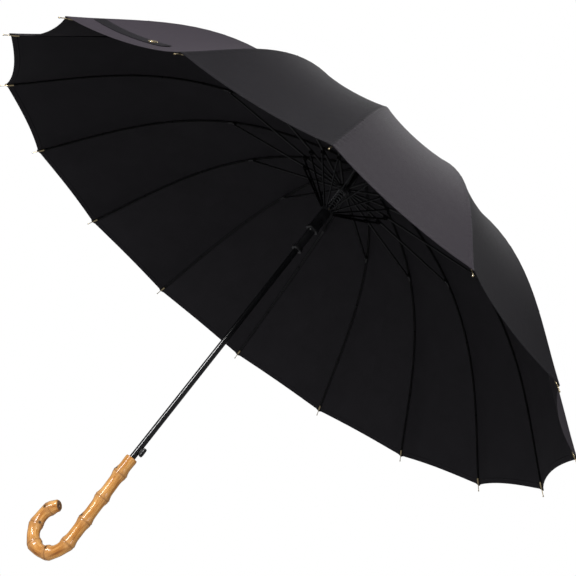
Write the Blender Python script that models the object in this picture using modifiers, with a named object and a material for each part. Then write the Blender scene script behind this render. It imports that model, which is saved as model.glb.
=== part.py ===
"""Stick umbrella with sixteen curved ribs, a spring-driven runner pair and a
bamboo crook handle.  Metres, +Z up.  The shaft runs along +Z, the crown is up
and the hook of the handle turns toward +X.  The origin is on the shaft axis in
the middle of the handle's straight grip."""

import math

import bmesh
import bpy
from mathutils import Matrix, Vector

# ---------------------------------------------------------------- dimensions
N_RIBS = 16
RIB_STEP = 2 * math.pi / N_RIBS
FIRST_RIB = math.radians(78.75)   # azimuth of rib 01, hook midway between ribs
GAP = 0.0003

HANDLE_TOP = 0.050                # top cut of the bamboo above the grip origin
CROWN_Z = HANDLE_TOP + 0.586      # plane of the sixteen rib pivots
RIB_PIVOT_R = 0.0125              # pivot circle of the ribs in the crown
RUNNER_PIVOT_R = 0.0096           # pivot circle of the stretchers
UPPER_Z = CROWN_Z - 0.0517        # upper runner pivots, umbrella open
LOWER_Z = CROWN_Z - 0.0985        # lower runner link plane, umbrella open

RIB_LENGTH = 0.5886               # crown pivot to canopy corner along the rib
RIB_JOINT = 0.2358                # length along the rib to the flexing joint
RIB_SLOPE = (0.019, -0.026, 8.89, -11.22)  # radians, powers of the length
RIB_R = 0.0015
TIP_PIN = 0.011                   # pin length past the canopy corner
FLEX_GAP = 0.00045                # half the gap between rib halves
LUG_BACK = 0.0022                 # stretcher lug sits this far before the joint
LUG_DROP = 0.0036                 # pivot below the rib's centre line
STRETCHER_R = 0.00125
STRETCHER_CLEAR = 0.0029          # stretcher stops short of its rib pivot
RUNNER_CLEAR = 0.0245             # and leaves the open pivot at the runner free

SHAFT_R = 0.0047
SHAFT_BORE = 0.0039
SHAFT_BOTTOM = 0.006
SHAFT_TOP = CROWN_Z + 0.020

CANOPY_LIFT = 0.0027              # cloth mid-surface above the rib centre line
CANOPY_THICK = 0.0004
CANOPY_HOLE = 0.0058
SAG = 0.050                       # mid-panel sag as a share of panel width
SCALLOP = 0.007                   # hem recess at mid panel

GRIP_R = 0.0089                   # cane radius between its joints
NODE_SWELL = 0.23                 # share gained at a bamboo joint
NODE_REACH = 0.0064               # how far along the cane a joint swells
HOOK_X, HOOK_Z, HOOK_R = 0.0293, -0.0914, 0.0336
HOOK_END = math.radians(55)       # how far past level the crook curls in
HOOK_GROW = 0.0024                # radius gained along the last curl

SPRING_R, SPRING_WIRE, SPRING_TURNS = 0.0060, 0.00055, 16

BUTTON_Z = HANDLE_TOP + 0.0145

# ------------------------------------------------------------------- scene
for old in list(bpy.data.objects):
    bpy.data.objects.remove(old, do_unlink=True)
part = bpy.data.collections.new("stick_umbrella")
bpy.context.scene.collection.children.link(part)
guides = bpy.data.collections.new("cutters")
bpy.context.scene.collection.children.link(guides)


def material(name, color, rough, metal=0.0):
    m = bpy.data.materials.new(name)
    m.use_nodes = True
    b = m.node_tree.nodes["Principled BSDF"]
    b.inputs["Base Color"].default_value = (*color, 1)
    b.inputs["Roughness"].default_value = rough
    b.inputs["Metallic"].default_value = metal
    m.diffuse_color = (*color, 1)
    return m


CLOTH = material("canopy_cloth", (0.035, 0.033, 0.038), 0.75)
STRAP = material("strap_cloth", (0.030, 0.028, 0.033), 0.75)
RIB = material("rib_lacquer", (0.012, 0.012, 0.013), 0.35, 0.6)
SHAFT = material("shaft_lacquer", (0.010, 0.010, 0.011), 0.18, 0.5)
PLASTIC = material("runner_plastic", (0.013, 0.013, 0.014), 0.35)
STEEL = material("spring_steel", (0.55, 0.55, 0.56), 0.3, 1.0)
GOLD = material("pale_gold", (0.80, 0.60, 0.28), 0.25, 1.0)
BAMBOO = material("bamboo", (0.56, 0.29, 0.10), 0.4)


def add(obj, mat=None, where=part):
    where.objects.link(obj)
    if mat is not None and not obj.data.materials:
        obj.data.materials.append(mat)
    return obj


def cutter(obj):
    add(obj, None, guides)
    obj.hide_render = True
    obj.display_type = "WIRE"
    return obj


def box_mesh(name, boxes):
    """One mesh of boxes, each (size, matrix)."""
    bm = bmesh.new()
    for size, matrix in boxes:
        bmesh.ops.create_cube(bm, size=1.0,
                              matrix=matrix @ Matrix.Diagonal((*size, 1)))
    me = bpy.data.meshes.new(name)
    bm.to_mesh(me)
    bm.free()
    return me


def turned(name, profile, mat, steps=32, closed=True, z=0.0):
    """A profile of (radius, height) points swept about +Z.  The profile runs
    down its outer side."""
    me = bpy.data.meshes.new(name)
    n = len(profile)
    edges = [(i, i + 1) for i in range(n - 1)] + ([(n - 1, 0)] if closed else [])
    me.from_pydata([(r, 0, h) for r, h in profile], edges, [])
    obj = bpy.data.objects.new(name, me)
    obj.location.z = z
    add(obj, mat)
    s = obj.modifiers.new("turn", "SCREW")
    s.axis = "Z"
    s.angle = 2 * math.pi
    s.steps = s.render_steps = steps
    s.use_merge_vertices = True
    s.merge_threshold = 1e-5
    s.use_smooth_shade = True
    return obj


def wire(name, points, radius, mat, resolution=2, radii=None):
    """A round wire or rail along the points, with flat filled ends."""
    cu = bpy.data.curves.new(name, "CURVE")
    cu.dimensions = "3D"
    cu.bevel_depth = radius
    cu.bevel_resolution = resolution
    cu.use_fill_caps = True
    sp = cu.splines.new("POLY")
    sp.points.add(len(points) - 1)
    for i, p in enumerate(points):
        sp.points[i].co = (*p, 1)
        sp.points[i].radius = radii[i] if radii else 1.0
    obj = bpy.data.objects.new(name, cu)
    cu.materials.append(mat)
    part.objects.link(obj)
    return obj


def welded(obj):
    """The evaluated shape of an object as a plain mesh in its local frame."""
    bpy.context.view_layer.update()
    graph = bpy.context.evaluated_depsgraph_get()
    me = bpy.data.meshes.new_from_object(obj.evaluated_get(graph))
    bm = bmesh.new()
    bm.from_mesh(me)
    bmesh.ops.remove_doubles(bm, verts=bm.verts, dist=1e-6)
    bmesh.ops.recalc_face_normals(bm, faces=bm.faces)
    bm.to_mesh(me)
    bm.free()
    return me


def as_mesh(obj):
    """Replaces an object by its welded evaluated mesh, at the same place."""
    me = welded(obj)
    name, matrix, mat = obj.name, obj.matrix_world.copy(), obj.data.materials[0]
    bpy.data.objects.remove(obj, do_unlink=True)
    new = bpy.data.objects.new(name, me)
    new.matrix_world = matrix
    if not me.materials:
        me.materials.append(mat)
    part.objects.link(new)
    return new


def smooth(obj, angle=35):
    obj.data.shade_smooth()
    obj.data.set_sharp_from_angle(angle=math.radians(angle))


def cut(obj, tool, operation="DIFFERENCE"):
    b = obj.modifiers.new("cut", "BOOLEAN")
    b.operation = operation
    b.solver = "EXACT"
    b.object = tool
    return b


def azimuth(i):
    return FIRST_RIB + i * RIB_STEP


# ------------------------------------------------------------ rib geometry
def rib_slope(s):
    return sum(c * s ** k for k, c in enumerate(RIB_SLOPE))


def rib_point(s, lift=0.0, steps=64):
    """(radius, height) of the open rib's centre line at length s from its
    crown pivot, moved outward along its normal by lift."""
    r, z = RIB_PIVOT_R, CROWN_Z
    h = s / steps
    for k in range(steps):
        a = rib_slope((k + 0.5) * h)
        r += math.cos(a) * h
        z -= math.sin(a) * h
    a = rib_slope(s)
    return r + lift * math.sin(a), z + lift * math.cos(a)


JOINT = rib_point(RIB_JOINT)                       # flexing joint
LUG = rib_point(RIB_JOINT - LUG_BACK, -LUG_DROP)   # stretcher pivot on the rib

# ------------------------------------------------------------- fixed pieces
# Steel tube with the catch slot near the handle and the button slot below it.
shaft = turned("shaft", [
    (SHAFT_BORE, SHAFT_TOP), (SHAFT_R - 0.0004, SHAFT_TOP),
    (SHAFT_R, SHAFT_TOP - 0.0004), (SHAFT_R, SHAFT_BOTTOM),
    (SHAFT_BORE, SHAFT_BOTTOM)], SHAFT, steps=28)
slots = cutter(bpy.data.objects.new("shaft_slots", box_mesh("shaft_slots", [
    ((0.006, 0.0034, 0.0130),
     Matrix.Translation((-SHAFT_R, 0, BUTTON_Z))),
    ((0.006, 0.0022, 0.0100),
     Matrix.Translation((-SHAFT_R, 0, HANDLE_TOP + 0.033))),
])))
cut(shaft, slots)

# Notched crown: a hub on the shaft with one slot for each rib end.
notch = turned("top_notch", [
    (SHAFT_R + GAP, 0.0017), (0.0150, 0.0017), (0.0155, 0.0012),
    (0.0155, -0.0030), (0.0088, -0.0030), (0.0088, -0.0095),
    (SHAFT_R + GAP, -0.0095)], PLASTIC, steps=32, z=CROWN_Z)
crown_cut = cutter(bpy.data.objects.new("crown_slots", box_mesh("crown_slots", [
    ((0.0080, 0.0036, 0.0080),
     Matrix.Rotation(azimuth(i), 4, "Z") @ Matrix.Translation((0.0144, 0, 0)))
    for i in range(N_RIBS)])))
crown_cut.location.z = CROWN_Z
cut(notch, crown_cut)

# Cloth rosette that covers the canopy's centre hole under the ferrule.
turned("rosette", [
    (SHAFT_R + 0.0005, 0.00355), (0.0130, 0.00355), (0.0185, 0.00335),
    (0.0185, 0.00300), (0.0130, 0.00320), (SHAFT_R + 0.0005, 0.00320)],
    CLOTH, steps=32, z=CROWN_Z)

# Ferrule: a turned cap pushed over the shaft's upper end, flat at its point.
turned("ferrule", [
    (0.0, 0.0620), (0.0028, 0.0620), (0.0034, 0.0612), (0.0037, 0.0500),
    (0.0058, 0.0150), (0.0066, 0.0080), (0.0074, 0.0066), (0.0098, 0.0058),
    (0.0104, 0.0050), (0.0104, 0.0042), (0.0098, 0.0039),
    (SHAFT_R + GAP, 0.0039), (SHAFT_R + GAP, 0.0203), (0.0, 0.0203)],
    SHAFT, steps=32, closed=False, z=CROWN_Z)

# Bamboo crook: a straight grip, a round bend and an end that curls inward,
# with a raised ring at each bamboo joint.
def grip_path():
    pts, rings = [], []
    lean = HOOK_X - HOOK_R
    n = 26
    for k in range(n):
        t = k / n
        z = HANDLE_TOP + (HOOK_Z - HANDLE_TOP) * t
        pts.append((lean * t * t * (3 - 2 * t), 0, z))
    m = 52
    for k in range(m + 1):
        a = math.pi + (math.pi + HOOK_END) * k / m
        over = max(0.0, (a - 2 * math.pi) / HOOK_END)
        r = HOOK_R + HOOK_GROW * over
        pts.append((HOOK_X + r * math.cos(a), 0, HOOK_Z + r * math.sin(a)))
    return pts


GRIP_RINGS = (0.0270, 0.0680, 0.1070, 0.1440, 0.1760, 0.2060, 0.2370, 0.2660)
grip = grip_path()
lengths = [0.0]
for p, q in zip(grip, grip[1:]):
    lengths.append(lengths[-1] + (Vector(q) - Vector(p)).length)
total = lengths[-1]


def on_grip(d):
    d = min(max(d, 0.0), total)
    for k in range(len(grip) - 1):
        if d <= lengths[k + 1]:
            t = (d - lengths[k]) / (lengths[k + 1] - lengths[k])
            return Vector(grip[k]).lerp(Vector(grip[k + 1]), t)
    return Vector(grip[-1])


def grip_size(d):
    joints = sum(math.exp(-((d - g) / NODE_REACH) ** 2) for g in GRIP_RINGS)
    return 0.99 + 0.055 * math.exp(-(d / 0.010) ** 2) + NODE_SWELL * joints


stations = {0.0: 1.03, total: 0.86}
step = total / 40
for k in range(1, 40):
    d = k * step
    if min(abs(d - g) for g in GRIP_RINGS) > 0.0045:
        stations[d] = grip_size(d)
for g in GRIP_RINGS:
    for off, ring in ((-0.0034, 0.0), (-0.0012, 0.02), (0.0003, 0.0),
                      (0.0016, -0.03), (0.0036, 0.0)):
        stations[g + off] = grip_size(g + off) + ring
keys = sorted(stations)
crook = wire("handle", [on_grip(d) for d in keys], GRIP_R, BAMBOO, 3,
             [stations[d] for d in keys])
crook = as_mesh(crook)
bm = bmesh.new()
bmesh.ops.create_cone(bm, cap_ends=True, segments=28, radius1=SHAFT_R + GAP,
                      radius2=SHAFT_R + GAP, depth=0.060,
                      matrix=Matrix.Translation((0, 0, HANDLE_TOP - 0.0145)))
me = bpy.data.meshes.new("grip_bore")
bm.to_mesh(me)
bm.free()
bore = cutter(bpy.data.objects.new("grip_bore", me))
cut(crook, bore)
smooth(crook)

# ------------------------------------------------------------- the runners
upper = turned("upper_runner", [
    (SHAFT_R + 0.0004, 0.0060), (0.0074, 0.0060), (0.0078, 0.0056),
    (0.0078, 0.0018), (0.0116, 0.0018), (0.0122, 0.0012), (0.0122, -0.0040),
    (0.0078, -0.0040), (0.0078, -0.0060), (SHAFT_R + 0.0004, -0.0060)],
    PLASTIC, steps=32, z=UPPER_Z)
upper_cut = cutter(bpy.data.objects.new("runner_slots", box_mesh("runner_slots", [
    ((0.0060, 0.0031, 0.0150),
     Matrix.Rotation(azimuth(i), 4, "Z")
     @ Matrix.Translation((0.0110, 0, 0)))
    for i in range(N_RIBS)])))
upper_cut.location.z = UPPER_Z
cut(upper, upper_cut)

SEAT = -0.0400
lower = turned("lower_runner", [
    (0.0070, 0.0045), (0.0103, 0.0045), (0.0108, 0.0040), (0.0108, -0.0026),
    (0.0103, -0.0031), (0.0090, -0.0034), (0.0090, -0.0378), (0.0104, -0.0382),
    (0.0107, -0.0390), (0.0107, -0.0424), (0.0103, -0.0432), (0.0068, -0.0442),
    (0.0065, -0.0780), (0.0084, -0.0784), (0.0088, -0.0794), (0.0088, -0.0836),
    (0.0082, -0.0845), (SHAFT_R + 0.0004, -0.0845), (SHAFT_R + 0.0004, SEAT),
    (0.0070, SEAT)], PLASTIC, steps=32, z=LOWER_Z)
lower_cut = cutter(bpy.data.objects.new("collar_slots", box_mesh("collar_slots", [
    ((0.0050, 0.0031, 0.0100),
     Matrix.Rotation(azimuth(i), 4, "Z")
     @ Matrix.Translation((0.0109, 0, 0.0019)))
    for i in range(N_RIBS)])))
lower_cut.location.z = LOWER_Z
cut(lower, lower_cut)

# Opening spring between the seat in the lower runner and the upper runner.
low = LOWER_Z + SEAT + SPRING_WIRE + GAP
high = UPPER_Z - 0.0060 - SPRING_WIRE - GAP
PER_TURN = 9
coil = []
for k in range(SPRING_TURNS * PER_TURN + 1):
    a = 2 * math.pi * k / PER_TURN
    coil.append((SPRING_R * math.cos(a), SPRING_R * math.sin(a),
                 low + (high - low) * k / (SPRING_TURNS * PER_TURN)))
wire("main_spring", coil, SPRING_WIRE, STEEL, 1)

# Release button: a pad outside the tube and a stem through its slot.
button = bpy.data.objects.new("release_button", box_mesh("release_button", [
    ((0.0034, 0.0066, 0.0140), Matrix.Translation((-0.0096, 0, 0)))]))
add(button, PLASTIC)
button.location = (0, 0, BUTTON_Z)
bev = button.modifiers.new("round", "BEVEL")
bev.width = 0.0010
bev.segments = 2
stem = cutter(bpy.data.objects.new("button_stem", box_mesh("button_stem", [
    ((0.0062, 0.0026, 0.0090), Matrix.Translation((-0.0055, 0, 0)))])))
stem.location = (0, 0, BUTTON_Z)
cut(button, stem, "UNION")

# --------------------------------------------------- ribs and stretchers
def frame_at(i, r, z):
    return Matrix.Rotation(azimuth(i), 4, "Z") @ Matrix.Translation((r, 0, z))


def local(points, origin):
    return [(r - origin[0], 0, z - origin[1]) for r, z in points]


# Inner half of a rib, with the lug that carries its stretcher.
n = 9
inner_line = [rib_point(-0.0013 + (RIB_JOINT - FLEX_GAP + 0.0013) * k / n)
              for k in range(n + 1)]
inner = wire("rib_inner_01", local(inner_line, (RIB_PIVOT_R, CROWN_Z)),
             RIB_R, RIB, 1)
slope = rib_slope(RIB_JOINT - LUG_BACK)
lug = cutter(bpy.data.objects.new("lug", box_mesh("lug", [
    ((0.0030, 0.0018, 0.0050), Matrix.Translation((0, 0, 0.0012)))])))
lug.matrix_world = (Matrix.Translation((LUG[0] - RIB_PIVOT_R, 0, LUG[1] - CROWN_Z))
                    @ Matrix.Rotation(slope, 4, "Y"))
inner = as_mesh(inner)
cut(inner, lug, "UNION")
inner = as_mesh(inner)
smooth(inner, 50)

# Outer half, which carries on to the pin past the canopy corner.
n = 14
outer_line = [rib_point(RIB_JOINT + FLEX_GAP
                        + (RIB_LENGTH + TIP_PIN - RIB_JOINT - FLEX_GAP) * k / n)
              for k in range(n + 1)]
outer = wire("rib_outer_01", local(outer_line, JOINT), RIB_R, RIB, 1,
             [1.0] * (n - 1) + [0.95, 0.8])
outer = as_mesh(outer)
smooth(outer, 50)

# Stretcher: a straight bar from the rib's lug towards the upper runner.
reach = Vector((RUNNER_PIVOT_R - LUG[0], 0, UPPER_Z - LUG[1]))
along = reach.normalized()
bar = wire("stretcher_01",
           [along * STRETCHER_CLEAR, along * (reach.length * 0.5),
            along * (reach.length - RUNNER_CLEAR)], STRETCHER_R, RIB, 1)
bar = as_mesh(bar)
smooth(bar, 50)

for base, (r, z) in ((inner, (RIB_PIVOT_R, CROWN_Z)), (outer, JOINT), (bar, LUG)):
    stem_name = base.name[:-2]
    base.matrix_world = frame_at(0, r, z)
    for i in range(1, N_RIBS):
        copy = bpy.data.objects.new(f"{stem_name}{i + 1:02d}", base.data)
        copy.matrix_world = frame_at(i, r, z)
        part.objects.link(copy)

# ------------------------------------------------------------------ canopy
def cloth_point(s, i, u, lift=CANOPY_LIFT):
    """A point of the cloth at length s, between rib i (u = 0) and rib i + 1."""
    if s < 0:
        r, z = RIB_PIVOT_R + s, CROWN_Z + lift
    else:
        r, z = rib_point(s, lift)
    a, b = azimuth(i), azimuth(i + 1)
    p = Vector((r * math.cos(a), r * math.sin(a), z))
    q = Vector((r * math.cos(b), r * math.sin(b), z))
    width = (q - p).length
    hang = SAG * width * (1 - abs(2 * u - 1)) * min(1.0, max(0.0, s) / 0.12)
    slope_here = rib_slope(max(s, 0))
    mid = (a + b) / 2
    inward = Vector((-math.sin(slope_here) * math.cos(mid),
                     -math.sin(slope_here) * math.sin(mid),
                     -math.cos(slope_here)))
    return p.lerp(q, u) + inward * hang


ROWS, CELLS = 22, 2
bm = bmesh.new()
rows = []
for k in range(ROWS + 1):
    row = []
    for i in range(N_RIBS):
        for c in range(CELLS):
            u = c / CELLS
            last = RIB_LENGTH - SCALLOP * 4 * u * (1 - u)
            t = k / ROWS
            s = (CANOPY_HOLE - RIB_PIVOT_R) * (1 - t) + last * t
            row.append(bm.verts.new(cloth_point(s, i, u)))
    rows.append(row)
for inner_row, outer_row in zip(rows, rows[1:]):
    m = len(inner_row)
    for k in range(m):
        bm.faces.new((inner_row[k], outer_row[k], outer_row[(k + 1) % m],
                      inner_row[(k + 1) % m]))
bmesh.ops.recalc_face_normals(bm, faces=bm.faces)
if sum(f.normal.z for f in bm.faces) < 0:
    bmesh.ops.reverse_faces(bm, faces=bm.faces)
me = bpy.data.meshes.new("canopy")
bm.to_mesh(me)
bm.free()
canopy = add(bpy.data.objects.new("canopy", me), CLOTH)
solid = canopy.modifiers.new("cloth", "SOLIDIFY")
solid.thickness = CANOPY_THICK
solid.offset = 0.0
solid.use_even_offset = False
me.shade_smooth()

# Tie strap sewn at rib 01, lying along the hem of the panel outside it.
STRAP_U0, STRAP_U1 = 0.03, 0.69
STRAP_S0, STRAP_S1 = 0.5365, 0.5545
STRAP_LIFT = CANOPY_LIFT + 0.0014
bm = bmesh.new()
grid = []
for k in range(13):
    u = STRAP_U0 + (0.5 - STRAP_U0) * k / 8 if k <= 8 else \
        0.5 + (STRAP_U1 - 0.5) * (k - 8) / 4
    grid.append([bm.verts.new(cloth_point(STRAP_S0 + (STRAP_S1 - STRAP_S0) * j / 2
                                          + (0.0020 if k == 12 and j == 0 else 0)
                                          - (0.0020 if k == 12 and j == 2 else 0),
                                          0, u, STRAP_LIFT)) for j in range(3)])
for a, b in zip(grid, grid[1:]):
    for j in range(2):
        bm.faces.new((a[j], a[j + 1], b[j + 1], b[j]))
bmesh.ops.recalc_face_normals(bm, faces=bm.faces)
me = bpy.data.meshes.new("strap")
bm.to_mesh(me)
bm.free()
strap = add(bpy.data.objects.new("strap", me), STRAP)
thick = strap.modifiers.new("band", "SOLIDIFY")
thick.thickness = 0.0010
thick.offset = 0.0

# Press snap on the strap.
snap = turned("strap_snap", [
    (0.0, 0.0018), (0.0028, 0.0016), (0.0050, 0.0010), (0.0058, 0.0004),
    (0.0058, 0.0), (0.0, 0.0)], GOLD, steps=20, closed=False)
mid_s = (STRAP_S0 + STRAP_S1) / 2
here = cloth_point(mid_s, 0, 0.5445, STRAP_LIFT + 0.0010)
du = cloth_point(mid_s, 0, 0.56, STRAP_LIFT) - cloth_point(mid_s, 0, 0.53, STRAP_LIFT)
ds = cloth_point(mid_s + 0.004, 0, 0.5445, STRAP_LIFT) \
    - cloth_point(mid_s - 0.004, 0, 0.5445, STRAP_LIFT)
out = ds.cross(du).normalized()
if out.z < 0:
    out.negate()
x = du.normalized()
y = out.cross(x)
snap.matrix_world = Matrix((
    (x.x, y.x, out.x, here.x), (x.y, y.y, out.y, here.y),
    (x.z, y.z, out.z, here.z), (0, 0, 0, 1)))
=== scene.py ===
"""The looks of the stick umbrella: cloth, ribs, runners, spring, bamboo crook,
materials, studio and camera.  Metres, row frame: +Z up the shaft, the crook
turns toward +X, origin on the shaft axis in the middle of the grip."""

import math

import bmesh
import bpy
from mathutils import Matrix, Vector


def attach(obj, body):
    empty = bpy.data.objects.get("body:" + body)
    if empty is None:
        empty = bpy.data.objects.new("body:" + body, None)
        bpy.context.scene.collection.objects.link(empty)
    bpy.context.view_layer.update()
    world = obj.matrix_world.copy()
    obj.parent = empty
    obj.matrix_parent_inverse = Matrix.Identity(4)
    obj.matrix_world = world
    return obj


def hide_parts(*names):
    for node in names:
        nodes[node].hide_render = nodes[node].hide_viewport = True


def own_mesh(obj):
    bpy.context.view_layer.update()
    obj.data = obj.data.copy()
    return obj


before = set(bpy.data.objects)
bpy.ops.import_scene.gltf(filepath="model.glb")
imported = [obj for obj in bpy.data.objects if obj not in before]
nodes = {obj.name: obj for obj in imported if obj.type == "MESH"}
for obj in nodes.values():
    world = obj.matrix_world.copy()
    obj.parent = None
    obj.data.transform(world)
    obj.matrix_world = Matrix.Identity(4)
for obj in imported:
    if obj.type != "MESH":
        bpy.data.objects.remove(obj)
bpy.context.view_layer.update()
scene = bpy.context.scene

# ------------------------------------------------------------ dimensions
N_RIBS = 16
RIB_STEP = 2 * math.pi / N_RIBS
FIRST_RIB = math.radians(78.75)
HANDLE_TOP = 0.050
CROWN_Z = 0.636
RIB_PIVOT_R = 0.0125
RUNNER_PIVOT_R = 0.0096
LINK_PIVOT_R = 0.0100
UPPER_Z = CROWN_Z - 0.0517
LOWER_Z = CROWN_Z - 0.0985
RIB_LENGTH = 0.5886
RIB_JOINT = 0.2358
RIB_SLOPE = (0.019, -0.026, 8.89, -11.22)
TIP_PIN = 0.011
LUG_BACK, LUG_DROP = 0.0022, 0.0036
SHAFT_R = 0.0047
SHAFT_BOTTOM = 0.006
CANOPY_LIFT = 0.0027
HANG = 0.050
SCALLOP = 0.007
HOOK_X, HOOK_Z, HOOK_R = 0.0293, -0.0914, 0.0336
HOOK_END = math.radians(55)
HOOK_GROW = 0.0024
GRIP_RINGS = (0.0270, 0.0680, 0.1070, 0.1440, 0.1760, 0.2060, 0.2370, 0.2660)
BUTTON_Z = HANDLE_TOP + 0.0145


def azimuth(i):
    return FIRST_RIB + i * RIB_STEP


def rib_slope(s):
    return sum(c * s ** k for k, c in enumerate(RIB_SLOPE))


_line = {}


def rib_point(s, lift=0.0, steps=64):
    key = round(s, 7)
    if key not in _line:
        r, z = RIB_PIVOT_R, CROWN_Z
        h = s / steps
        for k in range(steps):
            a = rib_slope((k + 0.5) * h)
            r += math.cos(a) * h
            z -= math.sin(a) * h
        _line[key] = (r, z, rib_slope(s))
    r, z, a = _line[key]
    return r + lift * math.sin(a), z + lift * math.cos(a)


JOINT = rib_point(RIB_JOINT)
LUG = rib_point(RIB_JOINT - LUG_BACK, -LUG_DROP)

# -------------------------------------------------------------- materials


def shader(name, color, rough, metal=0.0, **more):
    m = bpy.data.materials.new(name)
    m.use_nodes = True
    tree = m.node_tree
    b = tree.nodes["Principled BSDF"]
    b.inputs["Base Color"].default_value = (*color, 1)
    b.inputs["Roughness"].default_value = rough
    b.inputs["Metallic"].default_value = metal
    for key, value in more.items():
        b.inputs[key.replace("_", " ")].default_value = value
    m.diffuse_color = (*color, 1)
    return m, tree, b


def node(tree, kind, **values):
    n = tree.nodes.new(kind)
    for key, value in values.items():
        if key.startswith("_"):
            n.inputs[key[1:]].default_value = value
        else:
            setattr(n, key, value)
    return n


def math_node(tree, op, a, b=None, c=None, clamp=False):
    n = tree.nodes.new("ShaderNodeMath")
    n.operation = op
    n.use_clamp = clamp
    for k, x in enumerate((a, b, c)):
        if x is None:
            continue
        if isinstance(x, (int, float)):
            n.inputs[k].default_value = x
        else:
            tree.links.new(x, n.inputs[k])
    return n.outputs[0]


def noise(tree, vector, scale, detail=3.0, rough=0.55):
    n = node(tree, "ShaderNodeTexNoise", _Scale=scale, _Detail=detail,
             _Roughness=rough)
    tree.links.new(vector, n.inputs["Vector"])
    return n.outputs["Fac"]


def ramp(tree, fac, stops):
    n = tree.nodes.new("ShaderNodeValToRGB")
    els = n.color_ramp.elements
    while len(els) < len(stops):
        els.new(0.5)
    for e, (pos, col) in zip(els, stops):
        e.position = pos
        e.color = (*col, 1) if len(col) == 3 else col
    tree.links.new(fac, n.inputs["Fac"])
    return n.outputs["Color"]


def scaled(tree, vector, by):
    n = node(tree, "ShaderNodeMapping")
    n.inputs["Scale"].default_value = by
    tree.links.new(vector, n.inputs["Vector"])
    return n.outputs["Vector"]


def mixed(tree, fac, a, b, blend="MIX"):
    n = tree.nodes.new("ShaderNodeMix")
    n.data_type = "RGBA"
    n.blend_type = blend
    for socket, x in ((n.inputs[0], fac), (n.inputs[6], a), (n.inputs[7], b)):
        if isinstance(x, (int, float)):
            socket.default_value = x
        elif isinstance(x, tuple):
            socket.default_value = (*x, 1)
        else:
            tree.links.new(x, socket)
    return n.outputs[2]


def bump(tree, b, height, strength, distance):
    n = node(tree, "ShaderNodeBump", _Strength=strength, _Distance=distance)
    tree.links.new(height, n.inputs["Height"])
    tree.links.new(n.outputs["Normal"], b.inputs["Normal"])
    return n


def attribute(tree, name):
    return node(tree, "ShaderNodeAttribute", attribute_name=name,
                attribute_type="GEOMETRY")


def object_space(tree):
    return node(tree, "ShaderNodeTexCoord").outputs["Object"]


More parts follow.
